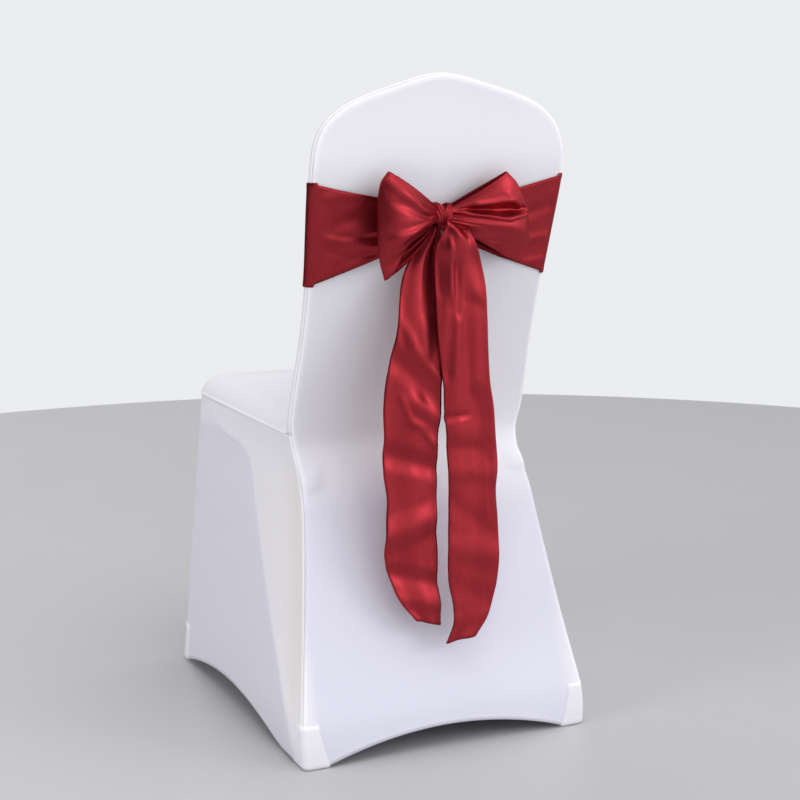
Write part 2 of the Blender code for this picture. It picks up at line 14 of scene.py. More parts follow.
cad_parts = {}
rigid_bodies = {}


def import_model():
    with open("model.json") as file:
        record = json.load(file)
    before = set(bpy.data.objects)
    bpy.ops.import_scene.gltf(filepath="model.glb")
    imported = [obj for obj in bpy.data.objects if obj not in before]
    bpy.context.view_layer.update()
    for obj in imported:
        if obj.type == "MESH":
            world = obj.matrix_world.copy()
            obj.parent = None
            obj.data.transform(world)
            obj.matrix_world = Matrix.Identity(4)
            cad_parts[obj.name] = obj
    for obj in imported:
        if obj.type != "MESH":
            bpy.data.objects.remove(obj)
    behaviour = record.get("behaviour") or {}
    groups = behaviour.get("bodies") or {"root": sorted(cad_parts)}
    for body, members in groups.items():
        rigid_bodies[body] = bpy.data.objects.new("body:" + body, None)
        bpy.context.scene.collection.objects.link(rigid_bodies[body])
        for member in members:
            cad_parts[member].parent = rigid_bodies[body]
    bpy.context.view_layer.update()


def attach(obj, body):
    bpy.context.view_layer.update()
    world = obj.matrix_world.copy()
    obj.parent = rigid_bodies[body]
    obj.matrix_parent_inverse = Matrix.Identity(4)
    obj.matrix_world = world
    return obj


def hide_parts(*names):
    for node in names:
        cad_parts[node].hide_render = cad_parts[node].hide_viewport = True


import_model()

bl_info = {
    "name": "Chair cover with sash",
    "version": (1, 0, 0),
    "blender": (4, 5, 0),
    "location": "View3D > Sidebar > Chair cover",
    "description": "Dresses a stretch chair cover and its satin sash",
    "category": "Object",
}

BODY = "root"
COLLECTION = "dressed_chair_cover"

# ---------------------------------------------------------------- sizes of the cover

SEAM_GAP = 0.00015  # between two pieces that are sewn together
SEAM_ANGLE = math.radians(55)  # where the back's edge seam lies on the rounded rim
RIM = 0.009  # radius of the rounded edges of the back
BACK_DEPTH = 0.020  # thickness of the backrest sleeve at its edges
BACK_PADDING = 0.010  # how far the padded front swells past them

CROWN_PEAK = 0.9025
CROWN_SLOPE = 0.33  # how steeply the gable falls beside the peak
CROWN_ROUND = 0.030  # half-width of the rounded peak
SHOULDER_HALF_WIDTH = 0.1000
SHOULDER_SIDE = 0.780  # height at which the sides start to round over

WAIST = 0.4245  # height of the seat seam where it meets the back
SEAT_SEAM_FRONT = 0.4320
SEAT_FRONT_Y = -0.2275
SEAT_FRONT_HALF = 0.192
SEAT_RIM = 0.0225  # height of the rim above the side seam
SEAT_WELT = 0.0016  # radius of the seam's raised edge
SEAT_ROUND = 0.030  # how far in the rim's rounding reaches
SEAT_CROWN = 0.010  # how far the middle stands above the rim
SEAT_TUCK = 0.0040  # between the seat's rear edge and the sleeve

FOOT_FRONT_Y = -0.2780
FOOT_FRONT_HALF = 0.2141
FRONT_CORNER_TOP = 0.032  # plan radius of the skirt's front corner under the seat
FRONT_CORNER_FLOOR = 0.020
HEM_LIFT = 0.0030  # the hem's height beside the feet
REAR_ARCH = (0.0, 0.1850, 0.0330)  # middle, half span and height of each hem arch
SIDE_ARCH = (-0.0467, 0.2178, 0.0313)
FRONT_ARCH = (0.0, 0.1900, 0.0300)
LEG_RIDGE = 0.014  # how far the rear leg pushes the skirt's side out
LEG_SOFTEN = 0.003  # how far the cloth rounds off over that ridge
RAIL_UNDERSIDE = 0.397  # below the seat rail nothing lies behind the skirt

POCKET_HEIGHT = 0.060
POCKET_SHELL = 0.0012  # how far a pocket stands proud of the skirt
POCKET_FLOOR_ROUND = 0.006  # radius between a pocket's floor and its wall
POCKETS = (
    # rear, side, word
    (True, 1, "rear_left"),
    (True, -1, "rear_right"),
    (False, 1, "front_left"),
    (False, -1, "front_right"),
)

# The back from the floor to the shoulder, at its outer rounded edge.
BACK_ROWS = (
    # height, half_width, rear_y
    (0.000, 0.2092, 0.2531),
    (0.030, 0.2106, 0.2520),
    (0.060, 0.2090, 0.2475),
    (0.100, 0.2028, 0.2351),
    (0.150, 0.1949, 0.2198),
    (0.200, 0.1874, 0.2055),
    (0.250, 0.1806, 0.1910),
    (0.300, 0.1744, 0.1767),
    (0.330, 0.1712, 0.1668),
    (0.360, 0.1676, 0.1502),
    (0.380, 0.1664, 0.1372),
    (0.408, 0.1690, 0.1270),
    (0.440, 0.1744, 0.1329),
    (0.500, 0.1733, 0.1525),
    (0.550, 0.1710, 0.1700),
    (0.600, 0.1708, 0.1880),
    (0.650, 0.1723, 0.2047),
    (0.700, 0.1750, 0.2195),
    (0.740, 0.1772, 0.2313),
    (0.780, 0.1786, 0.2420),
    (0.800, 0.1780, 0.2446),
    (0.900, 0.1780, 0.2470),
)

# Where the chair's rear leg and seat rail press the skirt's side out.
LEG_CREASE = (
    # height, y
    (0.000, 0.2230),
    (0.053, 0.2130),
    (0.117, 0.1700),
    (0.183, 0.1210),
    (0.2275, 0.0880),
    (0.2715, 0.0600),
    (0.3180, 0.0262),
    (0.3475, 0.0103),
    (0.3713, -0.0144),
    (0.3858, -0.0536),
    (0.3936, -0.1256),
    (0.4280, -0.1860),
)

# ---------------------------------------------------------------- sizes of the sash

SASH_CLEAR = 0.0008  # between the sash and the cover
BAND_TOP = 0.769  # the band's edges where it is flat, at the sides and in front
BAND_BOTTOM = 0.633
BAND_ROOT = (0.7050, 0.7350)  # its edges where it goes into the knot
KNOT = (0.001, 0.2402, 0.7205)
LOOP_GRIP = 0.0032  # half the thickness of a loop where the knot grips it
LOOP_ROOT = 0.0085  # half the height of a loop there
TAIL_TOP = 0.7200  # height at which the tails leave the knot
TAIL_FOLD = 0.0026  # radius of the fold down each tail's outer edge
TAIL_RECESS = 0.005  # how far the hidden layer's edge stops short of the front one's

# The outer end of each loop, from its upper corner to its lower one.
LEFT_LOOP_END = (
    # across, x, z
    (-1.00, 0.0867, 0.7823),
    (-0.75, 0.0968, 0.7700),
    (-0.45, 0.1010, 0.7501),
    (-0.10, 0.1011, 0.7218),
    (0.30, 0.1001, 0.6926),
    (0.65, 0.0969, 0.6676),
    (1.00, 0.0890, 0.6431),
)
RIGHT_LOOP_END = (
    # across, x, z
    (-1.00, -0.0820, 0.7762),
    (-0.75, -0.0970, 0.7630),
    (-0.45, -0.1090, 0.7454),
    (-0.10, -0.1204, 0.7217),
    (0.30, -0.1234, 0.6994),
    (0.65, -0.1283, 0.6802),
    (1.00, -0.1112, 0.6546),
)

# Each tail from the knot down to its free end: its outer and inner edge, and its slant.
LEFT_TAIL = (
    # minus the height, outer_x, inner_x, y, slant
    (-0.7200, 0.0080, 0.0005, 0.2352, 0.000),
    (-0.7000, 0.0145, 0.0000, 0.2345, 0.000),
    (-0.6750, 0.0360, 0.0010, 0.2352, 0.000),
    (-0.6468, 0.0530, 0.0020, 0.2380, 0.000),
    (-0.6162, 0.0610, 0.0020, 0.2410, 0.000),
    (-0.5800, 0.0662, 0.0020, 0.2435, 0.000),
    (-0.5443, 0.0740, 0.0030, 0.2440, 0.000),
    (-0.5083, 0.0828, 0.0049, 0.2440, 0.000),
    (-0.4718, 0.0861, 0.0046, 0.2440, 0.000),
    (-0.4347, 0.0852, 0.0089, 0.2440, 0.000),
    (-0.3900, 0.0869, 0.0096, 0.2440, 0.000),
    (-0.3500, 0.0824, 0.0114, 0.2440, 0.000),
    (-0.3100, 0.0859, 0.0129, 0.2440, 0.000),
    (-0.2750, 0.0879, 0.0109, 0.2440, 0.000),
    (-0.2400, 0.0794, 0.0114, 0.2440, 0.001),
    (-0.2090, 0.0674, 0.0084, 0.2440, 0.003),
    (-0.1776, 0.0444, 0.0084, 0.2440, 0.006),
)
RIGHT_TAIL = (
    # minus the height, outer_x, inner_x, y, slant
    (-0.7240, -0.0100, -0.0020, 0.2450, 0.000),
    (-0.7080, -0.0265, 0.0030, 0.2570, 0.000),
    (-0.6860, -0.0379, 0.0151, 0.2601, 0.000),
    (-0.6600, -0.0480, 0.0166, 0.2553, 0.000),
    (-0.6280, -0.0546, 0.0160, 0.2540, 0.000),
    (-0.5900, -0.0568, 0.0152, 0.2540, 0.000),
    (-0.5500, -0.0584, 0.0120, 0.2540, 0.000),
    (-0.5029, -0.0616, 0.0055, 0.2540, 0.000),
    (-0.4655, -0.0676, 0.0042, 0.2540, 0.000),
    (-0.4278, -0.0704, 0.0016, 0.2540, 0.000),
    (-0.3900, -0.0732, 0.0003, 0.2540, 0.000),
    (-0.3519, -0.0704, -0.0009, 0.2540, 0.000),
    (-0.3139, -0.0726, 0.0008, 0.2540, 0.000),
    (-0.2758, -0.0741, 0.0025, 0.2540, 0.000),
    (-0.2371, -0.0721, 0.0020, 0.2540, 0.000),
    (-0.2000, -0.0636, -0.0041, 0.2540, -0.001),
    (-0.1750, -0.0536, -0.0036, 0.2540, 0.000),
    (-0.1518, -0.0386, 0.0067, 0.2540, 0.002),
)

# ---------------------------------------------------------------- the flat cuts

# Width and length of each piece before it is stretched, hung or gathered.
CUTS = {
    "outer_back": (0.330, 0.820),
    "sleeve_front": (0.350, 0.460),
    "seat_cloth": (0.370, 0.340),
    "skirt_left_cloth": (0.370, 0.390),
    "skirt_right_cloth": (0.370, 0.390),
    "skirt_front_cloth": (0.360, 0.380),
    "foot_pocket_rear_left_cloth": (0.140, 0.065),
    "foot_pocket_rear_right_cloth": (0.140, 0.065),
    "foot_pocket_front_left_cloth": (0.140, 0.065),
    "foot_pocket_front_right_cloth": (0.140, 0.065),
    "sash_band": (0.150, 0.750),
    "sash_left_loop": (0.150, 0.190),
    "sash_right_loop": (0.150, 0.215),
    "sash_left_tail": (0.150, 0.580),
    "sash_right_tail": (0.150, 0.600),
    "sash_knot": (0.045, 0.110),
}

# ---------------------------------------------------------------- shape rules


def blend(low, high, share):
    """The value this share of the way from low to high."""
    return low + (high - low) * share


def ease(share):
    """A share from 0 to 1 that starts and ends level; it takes an array as well."""
    share = np.clip(share, 0.0, 1.0)
    return share * share * (3 - 2 * share)


def hump(distance, width):
    """1 at distance 0, falling smoothly to 0 at this width."""
    return 1 - ease(np.abs(distance) / width)


def from_rows(rows, column, height):
    """A column of a table read at this height, on a smooth curve through its rows."""
    height = min(max(height, rows[0][0]), rows[-1][0])
    index = next(i for i in range(1, len(rows)) if height <= rows[i][0]) - 1

    def slope(i):
        before, after = rows[max(i - 1, 0)], rows[min(i + 1, len(rows) - 1)]
        return (after[column] - before[column]) / (after[0] - before[0])

    low, high = rows[index], rows[index + 1]
    span = high[0] - low[0]
    share = (height - low[0]) / span
    bend_low = slope(index) * span
    bend_high = slope(index + 1) * span
    rise = high[column] - low[column]
    return (
        low[column]
        + bend_low * share
        + (3 * rise - 2 * bend_low - bend_high) * share**2
        + (bend_low + bend_high - 2 * rise) * share**3
    )


def back_half_width(height):
    return from_rows(BACK_ROWS, 1, height)


def back_y(height):
    """Where the back's outer face is at this height."""
    return from_rows(BACK_ROWS, 2, height)


def hem_line(place, arch):
    """The hem's height at this place across or along, under its arch."""
    middle, half_span, rise = arch
    return max(HEM_LIFT, rise * (1 - ((place - middle) / half_span) ** 2))


def crown_height(x):
    """The crown's outline above the shoulders: a low gable with a rounded peak."""
    return CROWN_PEAK - CROWN_SLOPE * (math.hypot(x, CROWN_ROUND) - CROWN_ROUND)


def shoulder_point(share):
    """A point of the shoulder, which rounds from the side to the crown's slope."""
    side = (back_half_width(SHOULDER_SIDE), SHOULDER_SIDE)
    top = (SHOULDER_HALF_WIDTH, crown_height(SHOULDER_HALF_WIDTH))
    corner = (side[0], crown_height(side[0]))
    weights = ((1 - share) ** 2, 2.5 * share * (1 - share), share**2)
    total = sum(weights)
    return tuple(
        sum(w * p[axis] for w, p in zip(weights, (side, corner, top))) / total
        for axis in (0, 1)
    )


def back_outline(low, side_steps, shoulder_steps, crown_steps):
    """Half of the back's outline, from this height up the side to the crown's peak."""
    points = []
    for step in range(side_steps):
        height = blend(low, SHOULDER_SIDE, step / side_steps)
        points.append((back_half_width(height), height))
    for step in range(shoulder_steps):
        points.append(shoulder_point(step / shoulder_steps))
    for step in range(crown_steps + 1):
        x = SHOULDER_HALF_WIDTH * (1 - step / crown_steps)
        points.append((x, crown_height(x)))
    return points


def inward(points, index):
    """The unit direction into the sleeve at a point of the outline."""
    if index == 0:
        return (-1.0, 0.0)
    if index == len(points) - 1:
        return (0.0, -1.0)
    before, after = points[index - 1], points[index + 1]
    dx, dz = after[0] - before[0], after[1] - before[1]
    length = math.hypot(dx, dz)
    return (-dz / length, dx / length)


def sleeve_point(points, index, inset, depth):
    """A point of the sleeve this far in from its edge and this deep from its rear face."""
    into = inward(points, index)
    x = points[index][0] + into[0] * inset
    z = points[index][1] + into[1] * inset
    return (max(x, 0.0), back_y(z) - depth, z)


def rear_rim(angle):
    """Inset and depth on the rim's rear half: 0 on the rear face, a quarter turn at the edge."""
    return RIM - RIM * math.sin(angle), RIM - RIM * math.cos(angle)


def front_rim(angle):
    """Inset and depth on the rim's front half: 0 at the edge, a quarter turn on the front."""
    return RIM - RIM * math.cos(angle), BACK_DEPTH - RIM + RIM * math.sin(angle)


def section_columns(section, middle_columns):
    """Columns across a row: the rim of one side, the face, and the rim of the other side."""
    columns = [(1, inset, depth) for inset, depth in section]
    for step in range(1, middle_columns):
        columns.append((1 - 2 * step / middle_columns, *section[-1]))
    columns += [(-1, inset, depth) for inset, depth in reversed(section)]
    return columns


def front_swell(share, height):
    """How far the padded front stands out, this share of the way to its side edge."""
    rise = math.sin(math.pi * (height - WAIST) / (CROWN_PEAK - WAIST))
    return BACK_PADDING * (1 - share**2) * max(rise, 0.0)


def front_half(height):
    """Half the skirt's width in front."""
    return blend(FOOT_FRONT_HALF, SEAT_FRONT_HALF, height / SEAT_SEAM_FRONT)


def front_y(height):
    return blend(FOOT_FRONT_Y, SEAT_FRONT_Y, height / SEAT_SEAM_FRONT)


def front_round(height):
    return blend(FRONT_CORNER_FLOOR, FRONT_CORNER_TOP, height / SEAT_SEAM_FRONT)


def seam_height(y):
    """The seat seam's height, which rises a little towards the front."""
    back = back_y(WAIST) - BACK_DEPTH
    return blend(WAIST, SEAT_SEAM_FRONT, min(max((back - y) / (back - SEAT_FRONT_Y), 0), 1))


# ---------------------------------------------------------------- cloth meshes


def collection():
    """The collection of the finished pieces."""
    found = bpy.data.collections.get(COLLECTION) or bpy.data.collections.new(COLLECTION)
    if COLLECTION not in bpy.context.scene.collection.children:
        bpy.context.scene.collection.children.link(found)
    return found


WELD = 0.00004  # points of a cloth that are closer than this are one
NO_HEM = 0.05  # a distance from the hem that is too far to show it


class Sheet:
    """A grid of points on a cloth, with the distances across and along it.

    Three more values a point tell the finish how the cloth lies there: how far its hem or
    seam is (hem), how much of the chair shows through (show_through), and how much painted
    shade it takes where the shaded space under the seat lies behind it.
    """

    def __init__(self, columns, rows, place, facing=1):
        self.columns = columns
        self.rows = rows
        self.facing = facing
        points = [[place(c, r) for c in range(columns + 1)] for r in range(rows + 1)]
        self.points = np.array(points, float)
        self.across = self.run(1)
        self.along = self.run(0)
        self.hem = np.full((rows + 1, columns + 1), NO_HEM)
        self.show_through = np.zeros((rows + 1, columns + 1))
        self.unbacked = np.zeros((rows + 1, columns + 1))

    def run(self, axis):
        """Each point's distance from the first one of its row or column."""
        steps = np.linalg.norm(np.diff(self.points, axis=axis), axis=2)
        lengths = np.cumsum(steps, axis=axis)
        shape = [self.rows + 1, self.columns + 1]
        shape[axis] = 1
        return np.concatenate([np.zeros(shape), lengths], axis=axis)

    def from_edge(self, edge):
        """Each point's distance from one edge: first or last column, or first or last row."""
        if edge == "first_column":
            return self.across
        if edge == "last_column":
            return self.across[:, -1:] - self.across
        if edge == "first_row":
            return self.along
        return self.along[-1:, :] - self.along

    def normals(self):
        """Each point's direction away from the chair."""
        over = np.gradient(self.points, axis=1)
        up = np.gradient(self.points, axis=0)
        facing = np.cross(over, up) * self.facing
        length = np.linalg.norm(facing, axis=2, keepdims=True)
        return facing / np.maximum(length, 1e-12)

    def lift(self, amount):
        """Moves each point along the cloth's outward direction."""
        self.points = self.points + self.normals() * np.asarray(amount)[..., None]

    def draw_folds(self, table, scale):
        """Moves the cloth to the rear along folds that run from one point to another."""
        x, z = self.points[..., 0], self.points[..., 2]
        ridges, hollows = np.zeros_like(x), np.zeros_like(x)
        for from_x, from_z, to_x, to_z, depth, from_width, to_width in table:
            length = math.hypot(to_x - from_x, to_z - from_z)
            over, up = (to_x - from_x) / length, (to_z - from_z) / length
            run = (x - from_x) * over + (z - from_z) * up
            beside = (x - from_x) * up - (z - from_z) * over
            share = np.clip(run / length, 0, 1)
            away = np.hypot(beside, 0.5 * (run - share * length))
            lift = depth * hump(away, blend(from_width, to_width, share))
            ridges, hollows = np.maximum(ridges, lift), np.minimum(hollows, lift)
        self.points[..., 1] += scale * (ridges + hollows)

    def mark_hem(self, edge):
        """Tells the finish that this edge is hemmed or sewn."""
        self.hem = np.minimum(self.hem, self.from_edge(edge))

    def sew(self, edge, width, height):
        """Raises a soft welt beside a seam, where the allowance lies under the cloth."""
        share = np.clip(self.from_edge(edge) / width, 0, 1)
        self.lift(height * np.sin(math.pi * share) ** 0.8)
        self.mark_hem(edge)

    def turn_hem(self, edge, width, height):
        """Raises the doubled cloth of a hem, which steps down at its stitched edge."""
        distance = self.from_edge(edge)
        step = 1 - ease((distance - width) / 0.0016)
        roll = 1 - hump(distance, 0.0012) * 0.7
        dip = hump(distance - width * 0.86, 0.0016) * 0.45
        self.lift(height * step * roll - height * dip)
        self.mark_hem(edge)

    def pucker(self, edge, depth, waves, reach):
        """Gathers the cloth beside a hem into fine waves."""
        self.lift(depth * waves * hump(self.from_edge(edge), reach))


def make_cloth(name, sheet, thickness, material):
    """A piece of cloth from its grid, with a thickness inwards and its UV map in metres."""
    bm = bmesh.new()
    bmesh.ops.create_grid(bm, x_segments=sheet.columns, y_segments=sheet.rows, size=0.5)
    mesh = bpy.data.meshes.new(name)
    bm.to_mesh(mesh)
    bm.free()
    count = len(mesh.vertices)
    flat = np.empty(count * 3, np.float32)
    mesh.vertices.foreach_get("co", flat)
    flat = flat.reshape(-1, 3)
    column = np.rint((flat[:, 0] + 0.5) * sheet.columns).astype(int)
    row = np.rint((flat[:, 1] + 0.5) * sheet.rows).astype(int)
    mesh.vertices.foreach_set("co", sheet.points[row, column].astype(np.float32).ravel())
    for word in ("hem", "show_through", "unbacked"):
        spots = mesh.attributes.new(word, "FLOAT", "POINT")
        values = getattr(sheet, word)[row, column]
        spots.data.foreach_set("value", values.astype(np.float32))
    corner = np.empty(len(mesh.loops), np.int32)
    mesh.loops.foreach_get("vertex_index", corner)
    places = np.stack([sheet.across[row, column], sheet.along[row, column]], axis=1)
    layer = mesh.uv_layers.new(name="cloth")
    layer.data.foreach_set("uv", places[corner].astype(np.float32).ravel())
    if sheet.facing < 0:
        mesh.flip_normals()
    bm = bmesh.new()
    bm.from_mesh(mesh)
    bmesh.ops.remove_doubles(bm, verts=bm.verts, dist=WELD)
    bm.to_mesh(mesh)
    bm.free()
    return thickened(name, mesh, thickness, material)


def thickened(name, mesh, thickness, material):
    """The piece that a cloth's outer face makes with its inner one, which is marked."""
    outer_count = len(mesh.vertices)
    raw = placed(name + "_raw", mesh)
    wall = raw.modifiers.new("cloth", "SOLIDIFY")
    wall.thickness = thickness
    wall.offset = -1.0
    wall.use_even_offset = False
    done = evaluated(raw)
    done.name = name
    inner_side = np.arange(len(done.vertices)) >= outer_count
    spots = done.attributes.new("reverse", "FLOAT", "POINT")
    spots.data.foreach_set("value", inner_side.astype(np.float32))
    done.shade_smooth()
    done.materials.clear()
    done.materials.append(material)
    return placed(name, done)


def evaluated(raw):
    """The plain mesh that an object's modifiers give; the object and its own mesh go."""
    graph = bpy.context.evaluated_depsgraph_get()
    done = bpy.data.meshes.new_from_object(raw.evaluated_get(graph), depsgraph=graph)
    mesh = raw.data
    bpy.data.objects.remove(raw)
    bpy.data.meshes.remove(mesh)
    return done


def placed(name, data):
    """A new object of the collection, at the origin."""
    made = bpy.data.objects.new(name, data)
    collection().objects.link(made)
    return made


def joined(name, pieces):
    """Several finished pieces as one mesh."""
    bm = bmesh.new()
    for piece in pieces:
        bm.from_mesh(piece.data)
    mesh = bpy.data.meshes.new(name)
    bm.to_mesh(mesh)
    bm.free()
    mesh.materials.append(pieces[0].data.materials[0])
    mesh.shade_smooth()
    for piece in pieces:
        bpy.data.objects.remove(piece)
    return placed(name, mesh)


def dress(piece, node, slot, **cut):
    """Sets a finished piece on the frame in place of its plain solid."""
    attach(piece, BODY)
    if node:
        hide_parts(node)


# ---------------------------------------------------------------- the backrest sleeve


def back_sheet(sizes):
    """The outer back: one length from the crown to the rear hem's arch."""
    lower_steps = 92
    points = []
    for step in range(lower_steps):
        height = blend(HEM_LIFT, WAIST, step / lower_steps)
        points.append((back_half_width(height), height))
    points += back_outline(WAIST, side_steps=40, shoulder_steps=14, crown_steps=26)
    section = [rear_rim(SEAM_ANGLE * (1 - step / 9)) for step in range(10)]
    columns = section_columns(section, middle_columns=44)

    def place(column, row):
        share, inset, depth = columns[column]
        x, y, z = sleeve_point(points, row, inset, depth)
        x *= share
        if z < WAIST:
            hem = hem_line(x, REAR_ARCH)
            z = blend(hem, WAIST, (z - HEM_LIFT) / (WAIST - HEM_LIFT))
            y = back_y(z) - depth
        return (x, y, z)

    sheet = Sheet(len(columns) - 1, len(points) - 1, place)
    x, z = sheet.points[..., 0], sheet.points[..., 2]
    beside = np.abs(x)
    # The chair's brackets press out a low bump on each side, under the seat.
    under = 0.3525 + 0.25 * (0.157 - beside)
    bracket = ease((z - under) / 0.006 + 0.5) * ease((0.388 - z) / 0.024)
    bracket *= ease((beside - 0.134) / 0.014) * ease((0.168 - beside) / 0.006)
    pull = np.sin(z * 46 + beside * 9) * hump(beside - 0.15, 0.05) * hump(z - 0.44, 0.12)
    slack = np.sin(z * 21 + x * 13) * np.sin(x * 17 + 0.6) * hump(z - 0.30, 0.28)
    wrinkles = sizes.wrinkle_depth * (0.25 * pull + 0.35 * slack)
    sheet.lift(sizes.bracket_height * bracket + wrinkles)
    # Painted shade: below the seat and between the rear legs the cloth takes the shade of the
    # space under the seat, deeper towards +X, away from the light.
    hollow = ease((0.40 - z) / 0.12) * blend(0.8, 1.5, ease((x + 0.16) / 0.30))
    hollow *= ease((back_half_width(0.1) - beside) / 0.03)
    sheet.unbacked = np.minimum(hollow, 1.0)
    sheet.sew("first_column", sizes.seam_width, sizes.seam_height)
    sheet.sew("last_column", sizes.seam_width, sizes.seam_height)
    sheet.turn_hem("first_row", sizes.hem_width, sizes.hem_height)
    return sheet


def sleeve_front_sheet(sizes):
    """The front of the sleeve, with the sides and top that its rounded edge wraps."""
    low = WAIST + SEAM_GAP
    points = back_outline(low, side_steps=44, shoulder_steps=14, crown_steps=26)
    seam = SEAM_ANGLE + SEAM_GAP / RIM
    section = [rear_rim(blend(seam, math.pi / 2, step / 4)) for step in range(5)]
    section += [front_rim(math.pi / 2 * step / 7) for step in range(8)]
    columns = section_columns(section, middle_columns=36)

    def place(column, row):
        share, inset, depth = columns[column]
        x, y, z = sleeve_point(points, row, inset, depth)
        return (x * share, y - front_swell(share, z), z)

    sheet = Sheet(len(columns) - 1, len(points) - 1, place, -1)
    x, z = sheet.points[..., 0], sheet.points[..., 2]
    tuft = np.sin(x * 19) * np.sin(z * 15 + 1) * hump(x, 0.16)
    sheet.lift(sizes.wrinkle_depth * 0.4 * tuft)
    sheet.sew("first_column", sizes.seam_width, sizes.seam_height)
    sheet.sew("last_column", sizes.seam_width, sizes.seam_height)
    sheet.sew("first_row", sizes.seam_width, sizes.seam_height)
    return sheet


# ---------------------------------------------------------------- the seat and the skirt


def seat_sheet(sizes):
    """The seat's top: rings from the seam's bead over the rounded rim to the middle."""
    side_steps, corner_steps, across_steps = 26, 8, 12
    rear = back_y(WAIST) - BACK_DEPTH - SEAT_TUCK
    corner_y = SEAT_FRONT_Y + FRONT_CORNER_TOP
    plan = sorted((y, x) for x, y in side_plan(WAIST))
    outline = []
    for step in range(side_steps):
        y = blend(rear, corner_y, step / side_steps)
        outline.append((float(np.interp(y, *zip(*plan))), y))
    rear_half = outline[0][0]
    for step in range(corner_steps + 1):
        angle = math.pi / 2 * step / corner_steps
        x = SEAT_FRONT_HALF - FRONT_CORNER_TOP * (1 - math.cos(angle))
        outline.append((x, corner_y - FRONT_CORNER_TOP * math.sin(angle)))
    front_flat = outline[-1][0]
    for step in range(1, across_steps):
        outline.append((front_flat * (1 - step / across_steps), SEAT_FRONT_Y))
    outline += [(0.0, SEAT_FRONT_Y)] + [(-x, y) for x, y in reversed(outline)]
    for step in range(1, 2 * across_steps):
        outline.append((rear_half * (step / across_steps - 1), rear))
    outline.append(outline[0])
    centre_y = (rear + SEAT_FRONT_Y) / 2
    bead_steps, rim_steps, top_steps = 8, 12, 24
    rings = []
    for step in range(bead_steps + 1):
        angle = math.pi * step / bead_steps
        rings.append((-SEAT_WELT * math.sin(angle), -SEAT_WELT * math.cos(angle), 1.0))
    for step in range(1, rim_steps + 1):
        share = step / rim_steps
        angle = math.pi / 2 * share
        inset = SEAT_ROUND * (0.6 * (1 - math.cos(angle)) + 0.4 * share)
        rings.append((inset, SEAT_WELT + SEAT_RIM * math.sin(angle), 1.0))
    rim_inset, rim_lift, _ = rings[-1]
    for step in range(1, top_steps + 1):
        scale = 1 - step / top_steps
        rings.append((rim_inset, rim_lift + SEAT_CROWN * (1 - scale**2), scale))

    def place(column, row):
        x, y = outline[column]
        inset, lift, scale = rings[row]
        share_in = inset / math.hypot(x, y - centre_y)
        x *= (1 - share_in) * scale
        y = centre_y + (y - centre_y) * (1 - share_in) * scale
        return (x, y, seam_height(y) + SEAM_GAP + lift)

    sheet = Sheet(len(outline) - 1, len(rings) - 1, place, -1)
    sheet.mark_hem("first_row")
    return sheet


def side_plan(height):
    """The skirt's side in plan, from the rear seam round to the front corner's middle."""
    web_steps, side_steps = 14, 26
    half, rear = back_half_width(height), back_y(height)
    seam = SEAM_ANGLE + SEAM_GAP / RIM
    points = []
    for step in range(5):
        inset, depth = rear_rim(blend(seam, math.radians(80), step / 4))
        points.append((half - inset, rear - depth))
    web = points[-1]
    radius = front_round(height)
    start = (front_half(height), front_y(height) + radius)
    share_up = min(height / SEAT_SEAM_FRONT, 1.0)
    push = LEG_RIDGE * math.sin(math.pi * (0.97 * share_up) ** 0.8)
    leg_y = min(from_rows(LEG_CREASE, 1, height), web[1] - 0.012)
    share = (leg_y - start[1]) / (web[1] - start[1])
    leg = (blend(start[0], web[0], share) + push, leg_y)

    def profile(y):
        """How far out the cloth is: two flats that meet in the leg's ridge."""
        behind = blend(web[0], leg[0], (web[1] - y) / (web[1] - leg[1]))
        ahead = blend(start[0], leg[0], (y - start[1]) / (leg[1] - start[1]))
        near = max(1 - abs(behind - ahead) / LEG_SOFTEN, 0.0)
        return min(behind, ahead) - 0.25 * LEG_SOFTEN * near**2

    for step in range(1, web_steps + 1):
        share = 1 - (1 - step / web_steps) ** 1.3
        y = blend(web[1], leg[1], share)
        points.append((profile(y), y))
    for step in range(1, side_steps):
        share = (step / side_steps) ** 1.2
        y = blend(leg[1], start[1], share)
        pull = -0.004 * math.sin(math.pi * share) * (1 - share_up)
        points.append((profile(y) + pull, y))
    for step in range(8):
        angle = math.pi / 4 * step / 7
        x = start[0] - radius + radius * math.cos(angle)
        points.append((x, start[1] - radius * math.sin(angle)))
    return points


def front_plan(height):
    """The skirt's front in plan, from one corner's middle to the other's."""
    columns = 30
    radius = front_round(height)
    half, face = front_half(height), front_y(height)
    corner = []
    for step in range(7):
        angle = blend(math.pi / 4 + SEAM_GAP / radius, math.pi / 2, step / 6)
        x = half - radius + radius * math.cos(angle)
        corner.append((x, face + radius - radius * math.sin(angle)))
    flat = corner[-1][0]
    middle = [(flat * (1 - 2 * step / columns), face) for step in range(1, columns)]
    return corner + middle + [(-x, y) for x, y in reversed(corner)]


